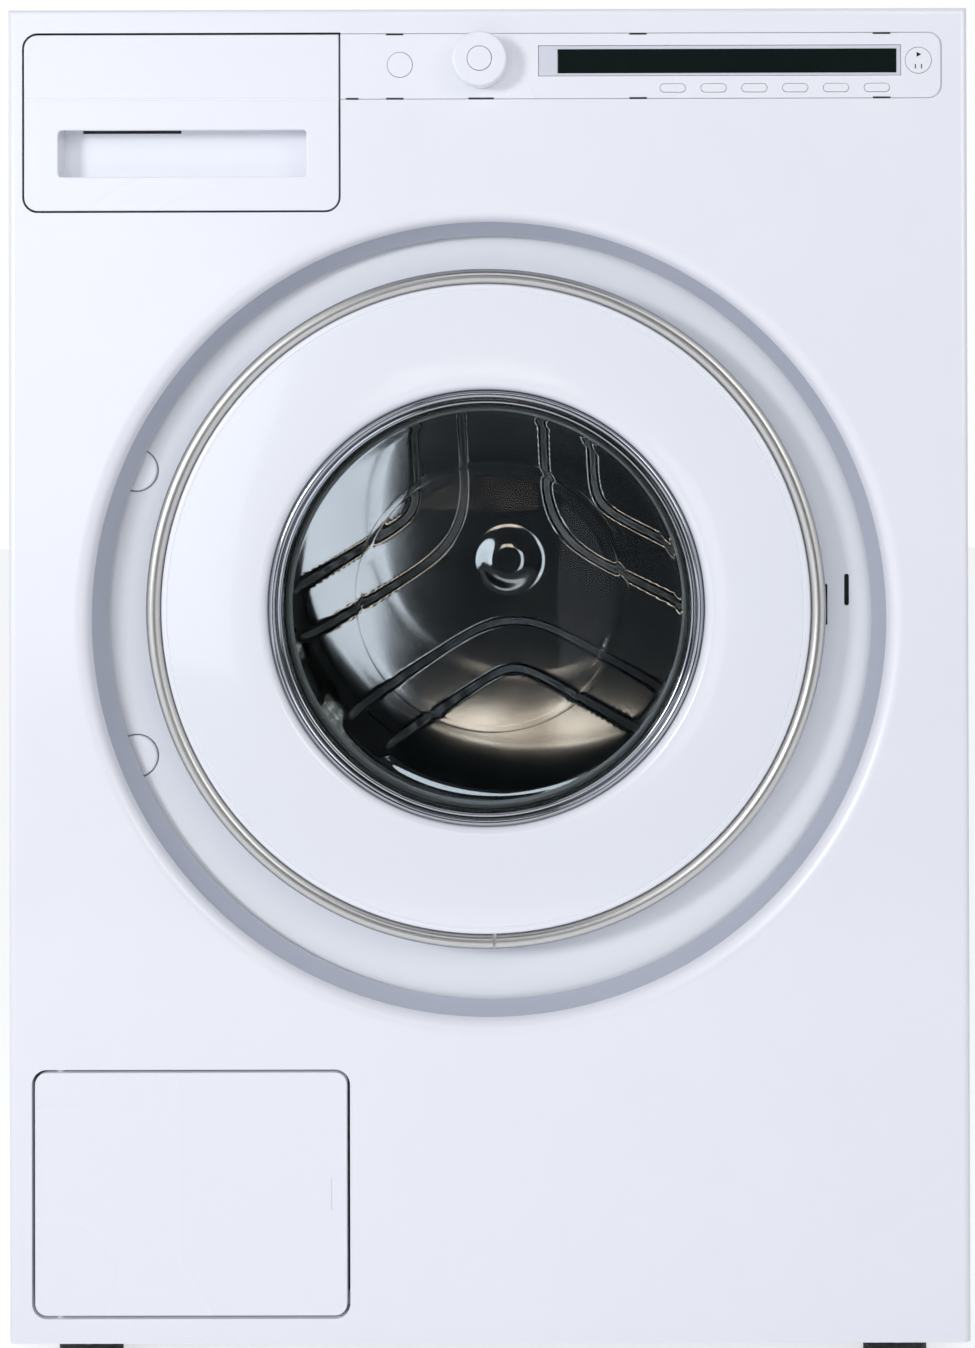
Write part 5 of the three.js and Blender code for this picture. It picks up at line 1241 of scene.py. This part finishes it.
copied("back_panel", 0.4, "back_sheet", "cabinet", ZINC)
cover_plate = ease(plate(COVER_X, COVER_Z, (BACK, BACK + COVER_SHEET), 22), 0.4, segments=2)
beads = [bead(grow(COVER_X, -26), grow(COVER_Z, -26), 30, sheet=BACK + COVER_SHEET)]
beads += [bead(x, COVER_Z, 14, width=8) for x in ((-272, -207), (207, 272))]
dressed(joined(cover_plate, *beads), "belt_cover_and_beads", "cabinet", ZINC)
edge_screws = [screw(x, z, BACK) for x in (-289, 289) for z in (48, 240, 440, 640, 822)]
edge_screws += [screw(x, z, BACK) for x in (-110, 110) for z in (34, 826)]
cover_screws = [screw(x, z, BACK + COVER_SHEET) for x in (-173, 173) for z in (228, 380, 535, 687)]
dressed(joined(*edge_screws, *cover_screws), "back_screws", "cabinet", ZINC, angle=40)
print(len(edge_screws) + len(cover_screws), "screws in the back")

# %% Hose thread, drain pipe and cable gland
def ribs(radius, start, end, pitch, height):
    """Points along a thread or a hose's barbs, seen from the side."""
    count = int((end - start) / pitch)
    points = []
    for i in range(count):
        points += [(radius - height, start + pitch * i), (radius, start + pitch * (i + 0.45))]
    return points + [(radius - height, end)]


INLET, DRAIN, FITTING_STEPS = (-230.0, 804.0), (-265.0, 80.0), 96
tip = reach("inlet_valve")[1][1]
copied("inlet_valve", 0.6, "inlet_valve_body", "cabinet", BLACK_PLASTIC, crease=50, angle=45)
port_line = [(9.2, 561), *ribs(13.4, 561, tip - 0.8, 1.8, 0.9), (12, tip - 0.1), (9.2, tip - 0.1)]
dressed(spun(port_line, INLET, FITTING_STEPS), "inlet_thread", "cabinet", BLACK_PLASTIC, angle=50)
tip = reach("drain_outlet")[1][1]
copied("drain_outlet", 0.5, "drain_pipe", "cabinet", GREY_ABS, crease=50, angle=45)
barb_line = [(7.7, 564), *ribs(10.6, 564, tip - 0.4, 2.2, 0.7), (9.6, tip), (7.7, tip)]
dressed(spun(barb_line, DRAIN, FITTING_STEPS), "drain_barbs", "cabinet", GREY_ABS, angle=30)
copied("cable_gland", 0.8, "cable_bushing", "cabinet", BLACK_PLASTIC, crease=50, angle=45)
print("back fittings reach", round(tip, 1), "mm")

# %% [markdown]
# A rubber bellows joins the tub's sump to the pump. On the machine its lower end stays with the pump and its upper
# end moves with the tub; here it is one still piece, its folds between the two sleeves, on no body.

# %% The sump's bellows
hose_ranges = reach("sump_hose")
low_z, high_z = hose_ranges[2]
hose_x, hose_depth = (sum(ends) / 2 for ends in hose_ranges[:2])
outer = (hose_ranges[0][1] - hose_ranges[0][0]) / 2
SLEEVE, FOLDS, FOLD_RISE, HOSE_WALL = 16.0, 6, 3.0, 2.4
root, bore = outer - FOLD_RISE, outer - 5.5
fold = (high_z - low_z - 2 * SLEEVE) / FOLDS
side_line = [(root, low_z), (root, low_z + SLEEVE)]
for i in range(6 * FOLDS):
    share = (i + 1) / 6
    side_line.append((root + FOLD_RISE * math.sin(math.pi * share) ** 2, low_z + SLEEVE + fold * share))
side_line += [(root, high_z), (bore, high_z)]
inner = [(radius - HOSE_WALL, z) for radius, z in side_line[-3:1:-1]]
bellows = as_object(upright([*side_line, *inner, (bore, low_z), side_line[0]], hose_x, hose_depth), "sump_bellows")
bellows.data.materials.append(GREY_RUBBER)
bellows.data.shade_smooth()
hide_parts("sump_hose")
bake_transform(bellows)
print("bellows", round(high_z - low_z, 1), "mm long")

# %% [markdown]
# Inside, most pieces keep the solids of the frame. They show when the door, the drawer or a panel is open, so
# each still gets its own finish. The bearings and the drum's shaft are turned steel, the heater's tube is stained
# by heat, and the motor, the drum's pulley and the bearings' housing are castings.

# %% Finishes of the pieces inside
def stained_steel():
    material, tree, surface = finish("heat_stained_steel", "#8F8A80", 0.32, Metallic=1.0)
    mottle(tree, surface, grain(tree, 30, detail=3.0), "#7C756A", "#A39C90")
    tree.links.new(span(tree, grain(tree, 12), 0.25, 0.42), surface.inputs["Roughness"])
    return material


def turned_steel():
    material, tree, surface = finish("turned_steel", "#B4B7BA", 0.24, Metallic=1.0)
    mottle(tree, surface, grain(tree, 25), "#AAADB0", "#BFC2C4")
    relief(tree, surface, grain(tree, 0.8), 0.004)
    return material


STAINED, TURNED = stained_steel(), turned_steel()
inside = {
    ZINC: ["outer_tub", "tub_cradle", "motor_pulley", *[n for n in nodes if n.startswith("shock_cylinder")]],
    CONCRETE: ["counterweight"],
    CASTING: ["bearing_housing", "motor", "drum_pulley"],
    TURNED: ["front_bearing", "rear_bearing", "drum_shaft"],
    STAINED: ["heater_element"],
    BLACK_RUBBER: ["drive_belt"],
    BLACK_PLASTIC: ["drain_pump"],
    GREY_ABS: ["dispenser_housing"],
    LAMINATE: ["control_board"],
}
for material, names in inside.items():
    for name in names:
        for held in nodes[name].material_slots:
            held.material = material
print(sum(len(names) for names in inside.values()), "pieces finished as they are")
